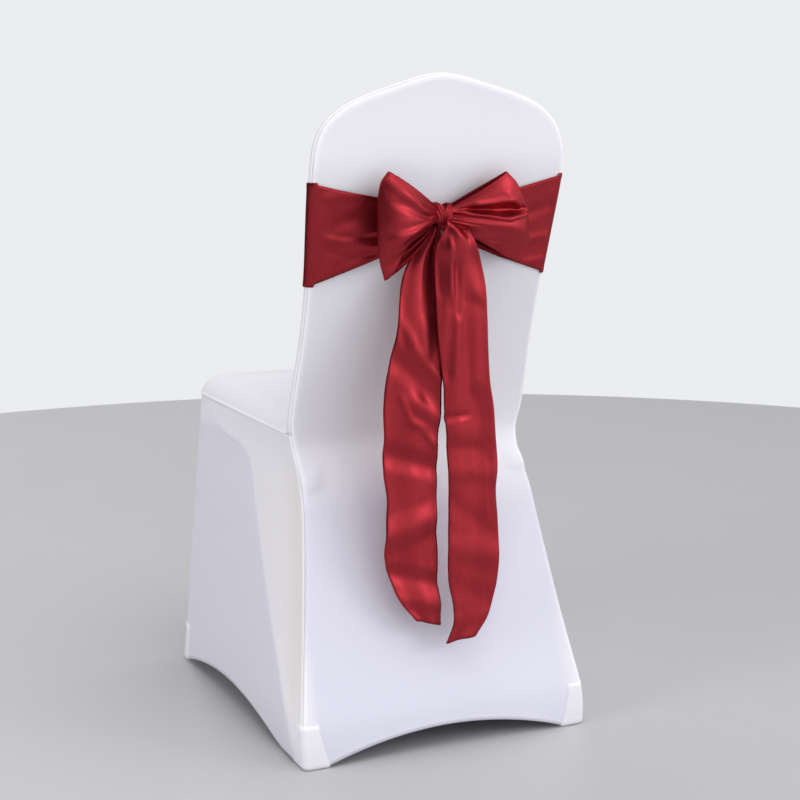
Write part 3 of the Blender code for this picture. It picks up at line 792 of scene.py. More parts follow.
def skirt_side_sheet(side, sizes):
    """A side of the skirt, from the back's edge seam to the front corner."""
    rows = 64
    columns = len(side_plan(0.1)) - 1

    def place(column, row):
        low = hem_line(side_plan(HEM_LIFT)[column][1], SIDE_ARCH)
        high = seam_height(side_plan(WAIST)[column][1]) - SEAM_GAP
        z = blend(low, high, row / rows)
        x, y = side_plan(z)[column]
        return (side * x, y, z)

    sheet = Sheet(columns, rows, place, -side)
    y, z = sheet.points[..., 1], sheet.points[..., 2]
    slack = np.sin(y * 17 + z * 13) * np.sin(z * 19 - y * 7) * hump(z - 0.26, 0.22)
    sheet.lift(sizes.wrinkle_depth * 0.5 * slack)
    sheet.sew("first_column", sizes.seam_width, sizes.seam_height)
    sheet.sew("last_column", sizes.seam_width, sizes.seam_height)
    sheet.turn_hem("first_row", sizes.hem_width, sizes.hem_height)
    # The rear leg shows faintly behind its ridge; ahead of it the skirt hangs over the space
    # under the seat and takes its painted shade.
    leg = np.interp(z, *zip(*LEG_CREASE))
    behind = ease((y - leg) / 0.02) * ease((z - 0.03) / 0.08) * ease((0.40 - z) / 0.06)
    by_seam = hump(sheet.across - 0.020, 0.034)
    sheet.show_through = behind * (0.25 + 0.75 * by_seam)
    sheet.unbacked = shade_under_rail(z) * ease((leg - y) / 0.006 + 0.5)
    return sheet


def shade_under_rail(height):
    """Painted shade of the space under the seat: the skirt lies against the chair only down to
    the rail.
    """
    return 0.85 * ease((RAIL_UNDERSIDE - height) / 0.018)


def skirt_front_sheet(sizes):
    """The front of the skirt, from the seat's seam to the hem."""
    rows = 56
    columns = len(front_plan(0.1)) - 1

    def place(column, row):
        low = hem_line(front_plan(HEM_LIFT)[column][0], FRONT_ARCH)
        z = blend(low, SEAT_SEAM_FRONT - SEAM_GAP, row / rows)
        x, y = front_plan(z)[column]
        return (x, y, z)

    sheet = Sheet(columns, rows, place, -1)
    x, z = sheet.points[..., 0], sheet.points[..., 2]
    slack = np.sin(x * 16 + 0.7) * np.sin(z * 17) * hump(x, 0.17)
    sheet.lift(sizes.wrinkle_depth * 0.6 * slack)
    # Painted shade of the space under the seat, below the rail.
    sheet.unbacked = shade_under_rail(z)
    sheet.sew("first_column", sizes.seam_width, sizes.seam_height)
    sheet.sew("last_column", sizes.seam_width, sizes.seam_height)
    sheet.sew("last_row", sizes.seam_width, sizes.seam_height)
    sheet.turn_hem("first_row", sizes.hem_width, sizes.hem_height)
    return sheet


# ---------------------------------------------------------------- the foot pockets


def pocket_outline(rear, height):
    """A foot pocket in plan: along the skirt round the corner, then back across inside."""
    if rear:
        half, face = back_half_width(height), back_y(height)
        along_side, along_end = 0.040, blend(0.036, 0.021, height / POCKET_HEIGHT)
        radius, way = RIM, -1
    else:
        half, face = front_half(height), front_y(height)
        along_side, along_end = 0.030, 0.034
        radius, way = front_round(height), 1
    inner = 0.004  # how far the inner side of the pocket bows past its ends
    points = [(half - along_end, face)]
    for step in range(5):
        angle = math.pi / 2 * (1 - step / 4)
        x = half - radius + radius * math.cos(angle)
        points.append((x, face + way * (radius - radius * math.sin(angle))))
    points.append((half + 0.0005, face + way * along_side))
    points.append((half - along_end * 0.5, face + way * (along_side + inner)))
    points.append((half - along_end - inner, face + way * along_side * 0.55))
    return points


def grown(points, amount):
    """An outline moved outwards by this much."""
    count = len(points)
    turn = sum(
        points[i][0] * points[(i + 1) % count][1] - points[(i + 1) % count][0] * points[i][1]
        for i in range(count)
    )
    sign = 1 if turn > 0 else -1
    moved = []
    for i in range(count):
        (ax, ay), (bx, by), (cx, cy) = points[i - 1], points[i], points[(i + 1) % count]
        normals = []
        for dx, dy in ((bx - ax, by - ay), (cx - bx, cy - by)):
            length = math.hypot(dx, dy)
            normals.append((dy / length, -dx / length))
        nx = normals[0][0] + normals[1][0]
        ny = normals[0][1] + normals[1][1]
        step = sign * amount * 2 / (nx * nx + ny * ny)
        moved.append((bx + step * nx, by + step * ny))
    return moved


def finer(points, steps):
    """A closed outline with this many points along each of its sides."""
    found = []
    for (ax, ay), (bx, by) in zip(points, points[1:] + points[:1]):
        for step in range(steps):
            found.append((blend(ax, bx, step / steps), blend(ay, by, step / steps)))
    return found + found[:1]


def pocket_sheet(side, rear):
    """A cup of doubled cloth: its floor from the middle out, then its wall up to the mouth."""
    floor_steps, round_steps, wall_steps = 6, 4, 22
    floor_growth = POCKET_SHELL - POCKET_FLOOR_ROUND
    levels = [(0.0, floor_growth, step / floor_steps) for step in range(floor_steps)]
    for step in range(round_steps + 1):
        angle = math.pi / 2 * step / round_steps
        rise = POCKET_FLOOR_ROUND * (1 - math.cos(angle))
        levels.append((rise, floor_growth + POCKET_FLOOR_ROUND * math.sin(angle), 1.0))
    for step in range(1, wall_steps + 1):
        height = blend(POCKET_FLOOR_ROUND, POCKET_HEIGHT, step / wall_steps)
        levels.append((height, POCKET_SHELL, 1.0))
    rings = []
    for height, growth, scale in levels:
        outline = finer(grown(pocket_outline(rear, height), growth), 4)
        middle = np.mean(outline[:-1], axis=0)
        ring = []
        for x, y in outline:
            x, y = blend(middle[0], x, scale), blend(middle[1], y, scale)
            ring.append((side * x, y, height))
        rings.append(ring)

    def place(column, row):
        return rings[row][column]

    facing = -side if rear else side
    sheet = Sheet(len(rings[0]) - 1, len(rings) - 1, place, facing)
    sheet.mark_hem("last_row")
    high = sheet.points[..., 2]
    roll = np.exp(-(((POCKET_HEIGHT - high) / 0.0022) ** 2))
    puckers = np.sin(sheet.across * 700) * hump(POCKET_HEIGHT - high, 0.012)
    wall = ease(high / POCKET_FLOOR_ROUND)
    sheet.lift(wall * (0.0002 * roll + 0.00018 * puckers))
    return sheet


# ---------------------------------------------------------------- the sash

ROW_EDGES = ("first_row", "last_row")

# Folds in the band beside the bow. Each runs from the side of the back to the knot.
LEFT_BAND_FOLDS = (
    # across at the side, across at the knot, depth, half width
    (0.93, 0.80, 0.0016, 0.13),
    (0.34, 0.30, -0.0020, 0.40),
    (-0.18, -0.05, 0.0030, 0.20),
    (-0.60, -0.48, 0.0022, 0.22),
    (-0.94, -0.86, 0.0012, 0.12),
)
RIGHT_BAND_FOLDS = (
    # across at the side, across at the knot, depth, half width
    (0.93, 0.78, 0.0018, 0.14),
    (0.48, 0.42, -0.0015, 0.28),
    (0.05, 0.10, 0.0026, 0.24),
    (-0.55, -0.40, -0.0012, 0.24),
    (-0.92, -0.80, 0.0016, 0.14),
)
# Folds drawn on a piece of the sash: ridges stand out, and hollows are negative.
LEFT_LOOP_FOLDS = (
    # from x, from z, to x, to z, depth, half width at each end
    (0.0833, 0.7672, 0.0357, 0.7301, 0.0026, 0.0132, 0.0079),
    (0.0718, 0.7392, 0.0298, 0.7209, -0.0030, 0.0106, 0.0066),
    (0.0709, 0.6988, 0.0283, 0.7139, 0.0042, 0.0132, 0.0053),
    (0.0812, 0.6662, 0.0376, 0.6971, -0.0024, 0.0106, 0.0066),
)
RIGHT_LOOP_FOLDS = (
    # from x, from z, to x, to z, depth, half width at each end
    (-0.0428, 0.7346, -0.0899, 0.7392, 0.0045, 0.0066, 0.0092),
    (-0.0899, 0.7392, -0.1112, 0.7224, 0.0045, 0.0092, 0.0053),
    (-0.0364, 0.7285, -0.0783, 0.7274, -0.0094, 0.0060, 0.0140),
    (-0.0783, 0.7274, -0.1048, 0.7262, -0.0119, 0.0140, 0.0075),
    (-0.0111, 0.7260, -0.0577, 0.7195, 0.0050, 0.0040, 0.0079),
    (-0.0577, 0.7195, -0.0846, 0.7144, 0.0069, 0.0079, 0.0079),
    (-0.0846, 0.7144, -0.1147, 0.7190, 0.0056, 0.0079, 0.0040),
    (-0.0276, 0.7078, -0.0956, 0.6979, 0.0080, 0.0158, 0.0264),
    (-0.0875, 0.6929, -0.1023, 0.6814, 0.0024, 0.0066, 0.0053),
    (-0.0499, 0.6908, -0.0886, 0.6848, -0.0018, 0.0053, 0.0053),
    (-0.0684, 0.6832, -0.0936, 0.6805, 0.0020, 0.0053, 0.0053),
)
LEFT_TAIL_FOLDS = (
    # from x, from z, to x, to z, depth, half width at each end
    (0.0651, 0.6161, 0.0657, 0.5641, 0.0020, 0.0095, 0.0095),
    (0.0584, 0.5806, 0.0431, 0.5507, 0.0027, 0.0110, 0.0110),
    (0.0431, 0.5507, 0.0262, 0.5297, 0.0030, 0.0110, 0.0110),
    (0.0262, 0.5297, 0.0077, 0.5083, 0.0027, 0.0110, 0.0095),
    (0.0287, 0.5746, 0.0275, 0.5456, 0.0026, 0.0143, 0.0143),
    (0.0618, 0.5298, 0.0279, 0.4954, -0.0036, 0.0206, 0.0190),
    (0.0395, 0.4765, 0.0138, 0.4582, 0.0030, 0.0158, 0.0158),
    (0.0595, 0.4808, 0.0498, 0.4561, 0.0026, 0.0079, 0.0079),
    (0.0498, 0.4561, 0.0312, 0.4437, 0.0026, 0.0079, 0.0079),
    (0.0312, 0.4437, 0.0169, 0.4236, 0.0026, 0.0079, 0.0079),
    (0.0717, 0.4088, 0.0201, 0.3902, -0.0042, 0.0224, 0.0198),
    (0.0786, 0.3046, 0.0177, 0.3220, 0.0048, 0.0290, 0.0264),
    (0.0827, 0.3173, 0.0756, 0.3124, 0.0020, 0.0092, 0.0092),
    (0.0764, 0.2512, 0.0154, 0.2324, -0.0036, 0.0185, 0.0185),
    (0.0580, 0.2144, 0.0126, 0.2029, 0.0022, 0.0158, 0.0158),
)
RIGHT_TAIL_FOLDS = (
    # from x, from z, to x, to z, depth, half width at each end
    (0.0006, 0.7183, -0.0079, 0.7063, 0.0040, 0.0053, 0.0079),
    (-0.0079, 0.7063, -0.0164, 0.6982, 0.0070, 0.0092, 0.0145),
    (-0.0164, 0.6982, -0.0249, 0.6771, 0.0088, 0.0158, 0.0198),
    (-0.0249, 0.6771, -0.0363, 0.6245, 0.0088, 0.0198, 0.0198),
    (-0.0363, 0.6245, -0.0418, 0.5053, 0.0050, 0.0185, 0.0158),
    (-0.0080, 0.7176, -0.0193, 0.7068, -0.0120, 0.0079, 0.0106),
    (-0.0052, 0.7255, -0.0165, 0.7250, 0.0040, 0.0053, 0.0053),
    (-0.0165, 0.7250, -0.0293, 0.7076, 0.0040, 0.0053, 0.0066),
    (0.0134, 0.7022, 0.0110, 0.6274, -0.0015, 0.0066, 0.0066),
    (-0.0007, 0.6913, -0.0032, 0.6265, 0.0020, 0.0053, 0.0066),
    (-0.0119, 0.6545, -0.0131, 0.5972, -0.0036, 0.0079, 0.0079),
    (-0.0059, 0.6007, -0.0012, 0.5197, -0.0032, 0.0106, 0.0106),
    (0.0035, 0.4567, -0.0329, 0.4588, -0.0034, 0.0079, 0.0026),
    (0.0000, 0.4400, -0.0260, 0.4360, 0.0013, 0.0300, 0.0256),
    (-0.0007, 0.4187, -0.0533, 0.4081, -0.0010, 0.0158, 0.0158),
    (-0.0005, 0.3851, -0.0548, 0.3781, 0.0015, 0.0198, 0.0198),
    (-0.0607, 0.4128, -0.0622, 0.3144, -0.0009, 0.0079, 0.0079),
    (-0.0061, 0.3412, -0.0532, 0.3017, -0.0015, 0.0217, 0.0217),
    (-0.0044, 0.2828, -0.0562, 0.2654, 0.0015, 0.0238, 0.0238),
    (-0.0085, 0.2244, -0.0531, 0.2074, -0.0013, 0.0217, 0.0217),
    (0.0006, 0.1813, -0.0471, 0.1803, 0.0010, 0.0158, 0.0158),
)
LEFT_BAND_CREASES = (
    # from x, from z, to x, to z, depth, half width at each end
    (0.0897, 0.7290, 0.1298, 0.7178, -0.0022, 0.0172, 0.0140),
    (0.0848, 0.6973, 0.1332, 0.6971, -0.0016, 0.0085, 0.0060),
    (0.0819, 0.6720, 0.1178, 0.6686, -0.0016, 0.0070, 0.0070),
    (0.1178, 0.6686, 0.1500, 0.6800, -0.0012, 0.0066, 0.0053),
    (0.0847, 0.6841, 0.1494, 0.6953, 0.0026, 0.0079, 0.0079),
    (0.0909, 0.7536, 0.1547, 0.7498, 0.0020, 0.0106, 0.0106),
)
RIGHT_BAND_CREASES = (
    # from x, from z, to x, to z, depth, half width at each end
    (-0.1428, 0.6500, -0.1711, 0.6539, 0.0022, 0.0079, 0.0066),
    (-0.1264, 0.7153, -0.1650, 0.7271, -0.0020, 0.0119, 0.0119),
    (-0.1364, 0.6807, -0.1660, 0.6847, 0.0022, 0.0106, 0.0106),
)

# The turns of cloth that make the knot, and how far their ridges stand out.
KNOT_RIDGE = 0.0011
KNOT_TURNS = (
    # x shift, z shift, radius y, radius z, width, tilt, bulge, start
    (0.0040, 0.0010, 0.0088, 0.0150, 0.0150, -0.42, 0.0026, 0.0),
    (-0.0050, 0.0022, 0.0100, 0.0128, 0.0120, 0.55, 0.0024, 0.6),
    (0.0095, -0.0030, 0.0066, 0.0100, 0.0085, -0.95, 0.0018, 1.4),
)

# How each loop is made: where its end stands (stand_off), how much that follows the back's
# lean (follow), its half depth (puffed), how far its front crowns (crest) and how far its
# lower edge is drawn up (mouth).
LOOPS = {
    "sash_left_loop": {
        "side": 1,
        "end_rows": LEFT_LOOP_END,
        "stand_off": 0.2545,
        "follow": 0.25,
        "puffed": 0.0100,
        "crest": 0.0150,
        "mouth": 0.030,
        "drawn": LEFT_LOOP_FOLDS,
    },
    "sash_right_loop": {
        "side": -1,
        "end_rows": RIGHT_LOOP_END,
        "stand_off": 0.2400,
        "follow": 0.90,
        "puffed": 0.0090,
        "crest": 0.0110,
        "mouth": 0.006,
        "drawn": RIGHT_LOOP_FOLDS,
    },
}
# The depth of each tail's long waves at the knot, and where across the tail they start.
TAILS = {
    "sash_left_tail": {
        "table": LEFT_TAIL,
        "fold_depth": 0.0030,
        "phase": 0.2,
        "drawn": LEFT_TAIL_FOLDS,
    },
    "sash_right_tail": {
        "table": RIGHT_TAIL,
        "fold_depth": 0.0050,
        "phase": 0.9,
        "drawn": RIGHT_TAIL_FOLDS,
    },
}


def folds(table, across, toward_knot):
    """The lift that a table of folds gives at one place."""
    total = 0.0
    for at_side, at_knot, depth, half_width in table:
        middle = blend(at_side, at_knot, toward_knot)
        total += depth * float(hump(across - middle, half_width))
    return total


def band_edges(x):
    """The band's lower and upper edge at this distance from the knot, as it gathers in."""
    share = min(abs(x) / back_half_width(BAND_TOP), 1.0)
    low, high = BAND_ROOT
    return blend(low, BAND_BOTTOM, share**0.8), blend(high, BAND_TOP, share**1.4)


def band_path(height):
    """Points round the sleeve at this height, with the direction that faces away from it."""
    half, rear = back_half_width(height), back_y(height)
    points = []
    for step in range(46):
        x = blend(0.004, half - RIM, step / 46)
        points.append(((x, rear), (0.0, 1.0)))
    for step in range(8):
        angle = math.pi / 2 * step / 7
        inset, depth = rear_rim(angle)
        points.append(((half - inset, rear - depth), (math.sin(angle), math.cos(angle))))
    for step in range(8):
        angle = math.pi / 2 * step / 7
        inset, depth = front_rim(angle)
        points.append(((half - inset, rear - depth), (math.cos(angle), -math.sin(angle))))
    for step in range(1, 19):
        share = 1 - step / 18
        swell = front_swell(share, height)
        x = (half - RIM) * share
        points.append(((x, rear - BACK_DEPTH - swell), (0.0, -1.0)))
    return points


def band_sheet(sizes):
    """The band, once round the back: it starts and ends at the knot, side by side."""
    rows = 34
    level = band_path(0.70)
    on_rear = [facing > 0.99 for _, (_, facing) in level]
    half_columns = len(level) - 1
    columns = half_columns * 2

    def place(column, row):
        side = 1 if column <= half_columns else -1
        index = column if side > 0 else columns - column
        across = 2 * row / rows - 1
        low, high = band_edges(level[index][0][0] if on_rear[index] else 1.0)
        z = blend(low, high, row / rows)
        (x, y), (nx, ny) = band_path(z)[index]
        lift = SASH_CLEAR + sizes.satin
        if on_rear[index]:
            near = float(ease((0.168 - x) / 0.115))
            table = LEFT_BAND_FOLDS if side > 0 else RIGHT_BAND_FOLDS
            lift += near * (0.0042 + sizes.fold_depth * folds(table, across, near))
        return (side * (x + nx * lift), y + ny * lift, z)

    sheet = Sheet(columns, rows, place, -1)
    rear_columns = np.array(on_rear + on_rear[-2::-1], float)
    creases = LEFT_BAND_CREASES + RIGHT_BAND_CREASES
    sheet.draw_folds(creases, sizes.fold_depth * rear_columns)
    for edge in ROW_EDGES:
        sheet.turn_hem(edge, sizes.sash_hem, sizes.sash_hem_height)
        sheet.pucker(edge, sizes.pucker, np.sin(sheet.across * 820), 0.009)
    return sheet


def loop_sheet(side, end_rows, stand_off, follow, puffed, crest, mouth, drawn, sizes):
    """A loop of the bow: out along its back layer, round the end and home along the front."""
    columns, rows = 104, 72

    def place(column, row):
        turn = math.pi * column / columns
        across = 2 * row / rows - 1
        reach = max(math.sin(turn), 0.0) ** 0.85
        front = float(ease((turn - math.pi / 2 + 0.30) / 1.20))
        # The strip widens from the knot to the loop's end, and its lower half sags.
        x = blend(KNOT[0] + side * 0.004, from_rows(end_rows, 1, across), reach)
        z = blend(KNOT[2] - LOOP_ROOT * across, from_rows(end_rows, 2, across), reach)
        z -= 0.007 * max(across, 0.0) * math.sin(math.pi * reach)
        # It stands off the back, and its two layers part.
        lean = follow * (back_y(z) - back_y(KNOT[2]))
        y = blend(KNOT[1] - LOOP_GRIP, stand_off + lean, math.sin(math.pi / 2 * reach))
        y += (1 - math.cos(turn)) * blend(LOOP_GRIP, puffed, math.sin(math.pi * reach * 0.62))
        swell = math.sin(math.pi * min(reach * 0.80, 1.0)) ** 0.8
        y += front * swell * crest * (1 - (across + 0.15) ** 2)
        # The knot gathers the front into small waves and the back into deep tucks.
        gather = 0.0013 * math.cos(6.3 * math.pi * across + 0.8) * math.exp(-2.8 * reach)
        tuck = 0.0034 * (1 + math.cos(10.5 * math.pi * across)) * math.exp(-0.5 * reach)
        behind = float(ease((math.pi / 2 - 0.25 - turn) / 0.5) * ease(reach * 3))
        y += gather * float(ease(reach * 5)) * front + tuck * behind
        # The front's lower edge is drawn up, so the loop stands open below.
        lower = float(ease((across - 0.1) / 0.9) * ease((turn - 1.9) / 0.6))
        gape = mouth * front * lower * math.sin(math.pi * reach)
        return (x, y + 0.35 * gape, z + gape)

    sheet = Sheet(columns, rows, place, -side)
    turns = np.linspace(0, math.pi, columns + 1)
    sheet.draw_folds(drawn, sizes.fold_depth * ease((turns - math.pi / 2) / 0.45))
    for edge in ROW_EDGES:
        sheet.turn_hem(edge, sizes.sash_hem, sizes.sash_hem_height)
        sheet.pucker(edge, sizes.pucker * 0.6, np.sin(sheet.across * 760), 0.008)
    return sheet


def tail_sheet(table, fold_depth, phase, drawn, sizes):
    """A tail folded down its outer edge: a front layer, the fold, and a layer behind it."""
    # Columns in each of the three, and rows.
    front, fold, behind, rows = 30, 8, 24, 150
    columns = front + fold + behind
    side = 1 if table[0][1] > 0 else -1
    first, last = table[0][0], table[-1][0]

    def place(column, row):
        below = blend(first, last, row / rows)
        outer, inner, y, slant = (from_rows(table, i, below) for i in (1, 2, 3, 4))
        height = -below
        drop = TAIL_TOP - height
        # The knot holds the top flat; the fold and the waves open within 50 mm of it.
        tight = 1 - float(ease(drop / 0.05))
        radius = blend(TAIL_FOLD, 0.0016, tight)
        width = abs(outer - inner)
        edge = outer - side * radius
        if column <= front:
            share = column / front
            x, depth = blend(inner, edge, share), radius
        elif column < front + fold:
            angle = math.pi * (column - front) / fold
            x, depth = edge + side * radius * math.sin(angle), radius * math.cos(angle)
            share = 1.0
        else:
            share = 1 - (column - front - fold) / behind
            x = blend(inner + side * TAIL_RECESS * (1 - tight), edge, share)
            depth = -radius
        # Long waves that fade down the tail, and a slow sway of the whole width.
        deep = (1 - tight) * (fold_depth * math.exp(-drop / 0.22) + 0.0012)
        wave = deep * math.cos(math.pi * (2.6 * share + phase + 1.5 * drop))
        sway = 0.0024 * float(ease((drop - 0.05) / 0.10)) * math.sin(13 * drop + phase)
        z = height + slant * (2 * share - 1) * min(width / 0.04, 1.0)
        return (x, y + depth + wave + sway, z)

    sheet = Sheet(columns, rows, place, side)
    sheet.draw_folds(drawn, sizes.fold_depth)
    along = sheet.along
    ripple = np.sin(along * 610 + 2 * np.sin(along * 83)) * ease((along - 0.06) / 0.05)
    for edge in ("first_column", "last_column"):
        sheet.turn_hem(edge, sizes.sash_hem, sizes.sash_hem_height)
        sheet.pucker(edge, sizes.pucker, ripple, 0.010)
    sheet.turn_hem("last_row", sizes.sash_hem, sizes.sash_hem_height)
    return sheet


def loop_sheets(sizes):
    """The loops, with their names."""
    return [(name, loop_sheet(sizes=sizes, **how)) for name, how in LOOPS.items()]


def tail_sheets(sizes):
    """The tails, with their names."""
    return [(name, tail_sheet(sizes=sizes, **how)) for name, how in TAILS.items()]


def knot_turn_sheet(turn):
    """One turn of cloth round the knot, gathered into soft ridges."""
    shift_x, shift_z, radius_y, radius_z, width, tilt, bulge, start = turn
    columns, rows = 20, 56

    def place(column, row):
        across = 2 * column / columns - 1
        angle = 2 * math.pi * row / rows
        round_out = bulge * (1 - across * across)
        waves = 4 * math.pi * across + start + 1.6 * math.sin(angle + start)
        ridge = KNOT_RIDGE * math.cos(waves)
        squeeze = 1 + 0.16 * math.cos(2 * angle + start)
        along_x = across * width / 2 * squeeze
        y = (radius_y + round_out + ridge) * math.cos(angle)
        z = (radius_z + round_out + ridge) * math.sin(angle)
        turned_x = along_x * math.cos(tilt) - z * math.sin(tilt)
        turned_z = along_x * math.sin(tilt) + z * math.cos(tilt)
        return (KNOT[0] + shift_x + turned_x, KNOT[1] + y, KNOT[2] + shift_z + turned_z)

    return Sheet(columns, rows, place, -1)


# ---------------------------------------------------------------- stitches

KNIT_STITCH_PROUD = 0.0001  # how far the middle of a stitch lies above the cloth
SATIN_STITCH_PROUD = 0.00008
POCKET_STITCH_INSET = 0.0045


def stitch_line(sheet, edge, inset, proud):
    """A row of points this far in from a cloth's edge, just proud of its surface."""
    distance = sheet.from_edge(edge)
    points = sheet.points + sheet.normals() * proud
    if edge.endswith("row"):
        distance = distance.T
        points = points.transpose(1, 0, 2)
    line = []
    for apart, places in zip(distance, points):
        order = np.argsort(apart)
        line.append([np.interp(inset, apart[order], places[order, axis]) for axis in range(3)])
    return line


def stitch_tree():
    """Geometry Nodes that set one small stitch after another along each line."""
    tree = bpy.data.node_groups.new("row_of_stitches", "GeometryNodeTree")
    face = tree.interface
    face.new_socket("Line", in_out="INPUT", socket_type="NodeSocketGeometry")
    for word in ("Spacing", "Stitch Length", "Thread Radius"):
        face.new_socket(word, in_out="INPUT", socket_type="NodeSocketFloat")
    face.new_socket("Thread", in_out="INPUT", socket_type="NodeSocketMaterial")
    face.new_socket("Stitches", in_out="OUTPUT", socket_type="NodeSocketGeometry")
    make = tree.nodes.new
    given, result = make("NodeGroupInput"), make("NodeGroupOutput")
    curve = make("GeometryNodeMeshToCurve")
    spots = make("GeometryNodeCurveToPoints")
    spots.mode = "LENGTH"
    thread = make("GeometryNodeMeshCylinder")
    thread.fill_type = "TRIANGLE_FAN"
    thread.inputs["Vertices"].default_value = 6
    put = make("GeometryNodeInstanceOnPoints")
    real = make("GeometryNodeRealizeInstances")
    paint = make("GeometryNodeSetMaterial")
    link = tree.links.new
    link(given.outputs["Line"], curve.inputs["Mesh"])
    link(curve.outputs["Curve"], spots.inputs["Curve"])
    link(given.outputs["Spacing"], spots.inputs["Length"])
    link(given.outputs["Thread Radius"], thread.inputs["Radius"])
    link(given.outputs["Stitch Length"], thread.inputs["Depth"])
    link(spots.outputs["Points"], put.inputs["Points"])
    link(spots.outputs["Rotation"], put.inputs["Rotation"])
    link(thread.outputs["Mesh"], put.inputs["Instance"])
    link(put.outputs["Instances"], real.inputs["Geometry"])
    link(real.outputs["Geometry"], paint.inputs["Geometry"])
    link(given.outputs["Thread"], paint.inputs["Material"])
    link(paint.outputs["Geometry"], result.inputs["Stitches"])
    return tree


def make_stitches(name, lines, sizes, material):
    """All the stitches of one thread, as one plain mesh."""
    mesh = bpy.data.meshes.new(name + "_lines")
    points, edges = [], []
    for line in lines:
        first = len(points)
        points += [tuple(point) for point in line]
        edges += [(first + i, first + i + 1) for i in range(len(line) - 1)]
    mesh.from_pydata(points, edges, [])
    raw = placed(name + "_lines", mesh)
    modifier = raw.modifiers.new("stitches", "NODES")
    modifier.node_group = stitch_tree()
    values = {
        "Spacing": sizes.spacing,
        "Stitch Length": sizes.stitch,
        "Thread Radius": sizes.thread,
        "Thread": material,
    }
    for item in modifier.node_group.interface.items_tree:
        if item.in_out == "INPUT" and item.name in values:
            modifier[item.identifier] = values[item.name]
    done = evaluated(raw)
    done.shade_smooth()
    return placed(name, done)


# ---------------------------------------------------------------- finishes


class Value:
    """A number that varies over a surface: a socket that takes Python's operators."""

    def __init__(self, finish, socket):
        self.finish = finish
        self.socket = socket

    def combine(self, operation, *others, clamp=False):
        node = self.finish.node(
            "ShaderNodeMath", {"operation": operation, "use_clamp": clamp}, *others
        )
        return Value(self.finish, node.outputs[0])

    def __add__(self, other):
        return self.combine("ADD", self, other)

    def __radd__(self, other):
        return self.combine("ADD", other, self)

    def __sub__(self, other):
        return self.combine("SUBTRACT", self, other)

    def __rsub__(self, other):
        return self.combine("SUBTRACT", other, self)

    def __mul__(self, other):
        return self.combine("MULTIPLY", self, other)

    def __rmul__(self, other):
        return self.combine("MULTIPLY", other, self)

    def sine(self):
        return self.combine("SINE", self)

    def clamped(self):
        return self.combine("MULTIPLY", self, 1.0, clamp=True)

    def below(self, edge, softness):
        """1 where this is well under an edge, 0 where it is over it."""
        node = self.finish.node(
            "ShaderNodeMapRange",
            {"interpolation_type": "SMOOTHSTEP"},
            self,
            edge - softness,
            edge + softness,
            1.0,
            0.0,
        )
        return Value(self.finish, node.outputs[0])


class Finish:
    """The nodes of one material, which end in a Principled BSDF."""

    def __init__(self, name):
        self.material = bpy.data.materials.new(name)
        self.material.use_nodes = True
        self.tree = self.material.node_tree
        self.shader = self.tree.nodes["Principled BSDF"]

    def plug(self, socket, value):
        """Links or sets a socket's value; None leaves it as it is."""
        if isinstance(value, Value):
            self.tree.links.new(value.socket, socket)
        elif isinstance(value, bpy.types.NodeSocket):
            self.tree.links.new(value, socket)
        elif value is not None:
            socket.default_value = value

    def node(self, kind, settings=None, *values, **named):
        """A node of this type with its settings, then its inputs in order or by name."""
        node = self.tree.nodes.new(kind)
        for word, setting in (settings or {}).items():
            setattr(node, word, setting)
        for socket, value in zip(node.inputs, values):
            self.plug(socket, value)
        for word, value in named.items():
            self.plug(node.inputs[word.replace("_", " ")], value)
        return node

    def attribute(self, name):
        node = self.node("ShaderNodeAttribute", {"attribute_name": name})
        return Value(self, node.outputs["Fac"])

    def noise(self, place, scale, detail):
        node = self.node("ShaderNodeTexNoise", None, Vector=place, Scale=scale, Detail=detail)
        return Value(self, node.outputs[0])

    def cloth_place(self):
        """The distances across and along the cloth, in metres, and both as a vector."""
        uv = self.node("ShaderNodeUVMap", {"uv_map": "cloth"}).outputs[0]
        split = self.node("ShaderNodeSeparateXYZ", None, uv)
        return Value(self, split.outputs[0]), Value(self, split.outputs[1]), uv

    def body_place(self):
        """The place on the cover in metres."""
        return self.node("ShaderNodeTexCoord").outputs["Object"]

    def stretched(self, vector, scale):
        node = self.node("ShaderNodeMapping", None, Vector=vector, Scale=scale)
        return node.outputs[0]

    def mix(self, share, first, second):
        """A colour this share of the way from the first to the second."""
        node = self.node("ShaderNodeMix", {"data_type": "RGBA"})
        self.plug(node.inputs["Factor"], share)
        self.plug(node.inputs[6], rgba(first))
        self.plug(node.inputs[7], rgba(second))
        return node.outputs[2]

    def bump(self, height, distance, strength):
        """Small relief in the shader: this high at a height of 1, and this strong."""
        node = self.node(
            "ShaderNodeBump", None, Height=height, Distance=distance, Strength=strength
        )
        self.plug(self.shader.inputs["Normal"], node.outputs[0])

    def set(self, **values):
        """Links or sets the shader's own sockets."""
        for word, value in values.items():
            self.plug(self.shader.inputs[word.replace("_", " ")], value)


def rgba(tint):
    """A colour with its alpha, or the socket that gives one, as it is."""
    if isinstance(tint, bpy.types.NodeSocket):
        return tint
    return (*tuple(tint)[:3], 1.0)


def darker(tint, share):
    return [channel * share for channel in tuple(tint)[:3]]


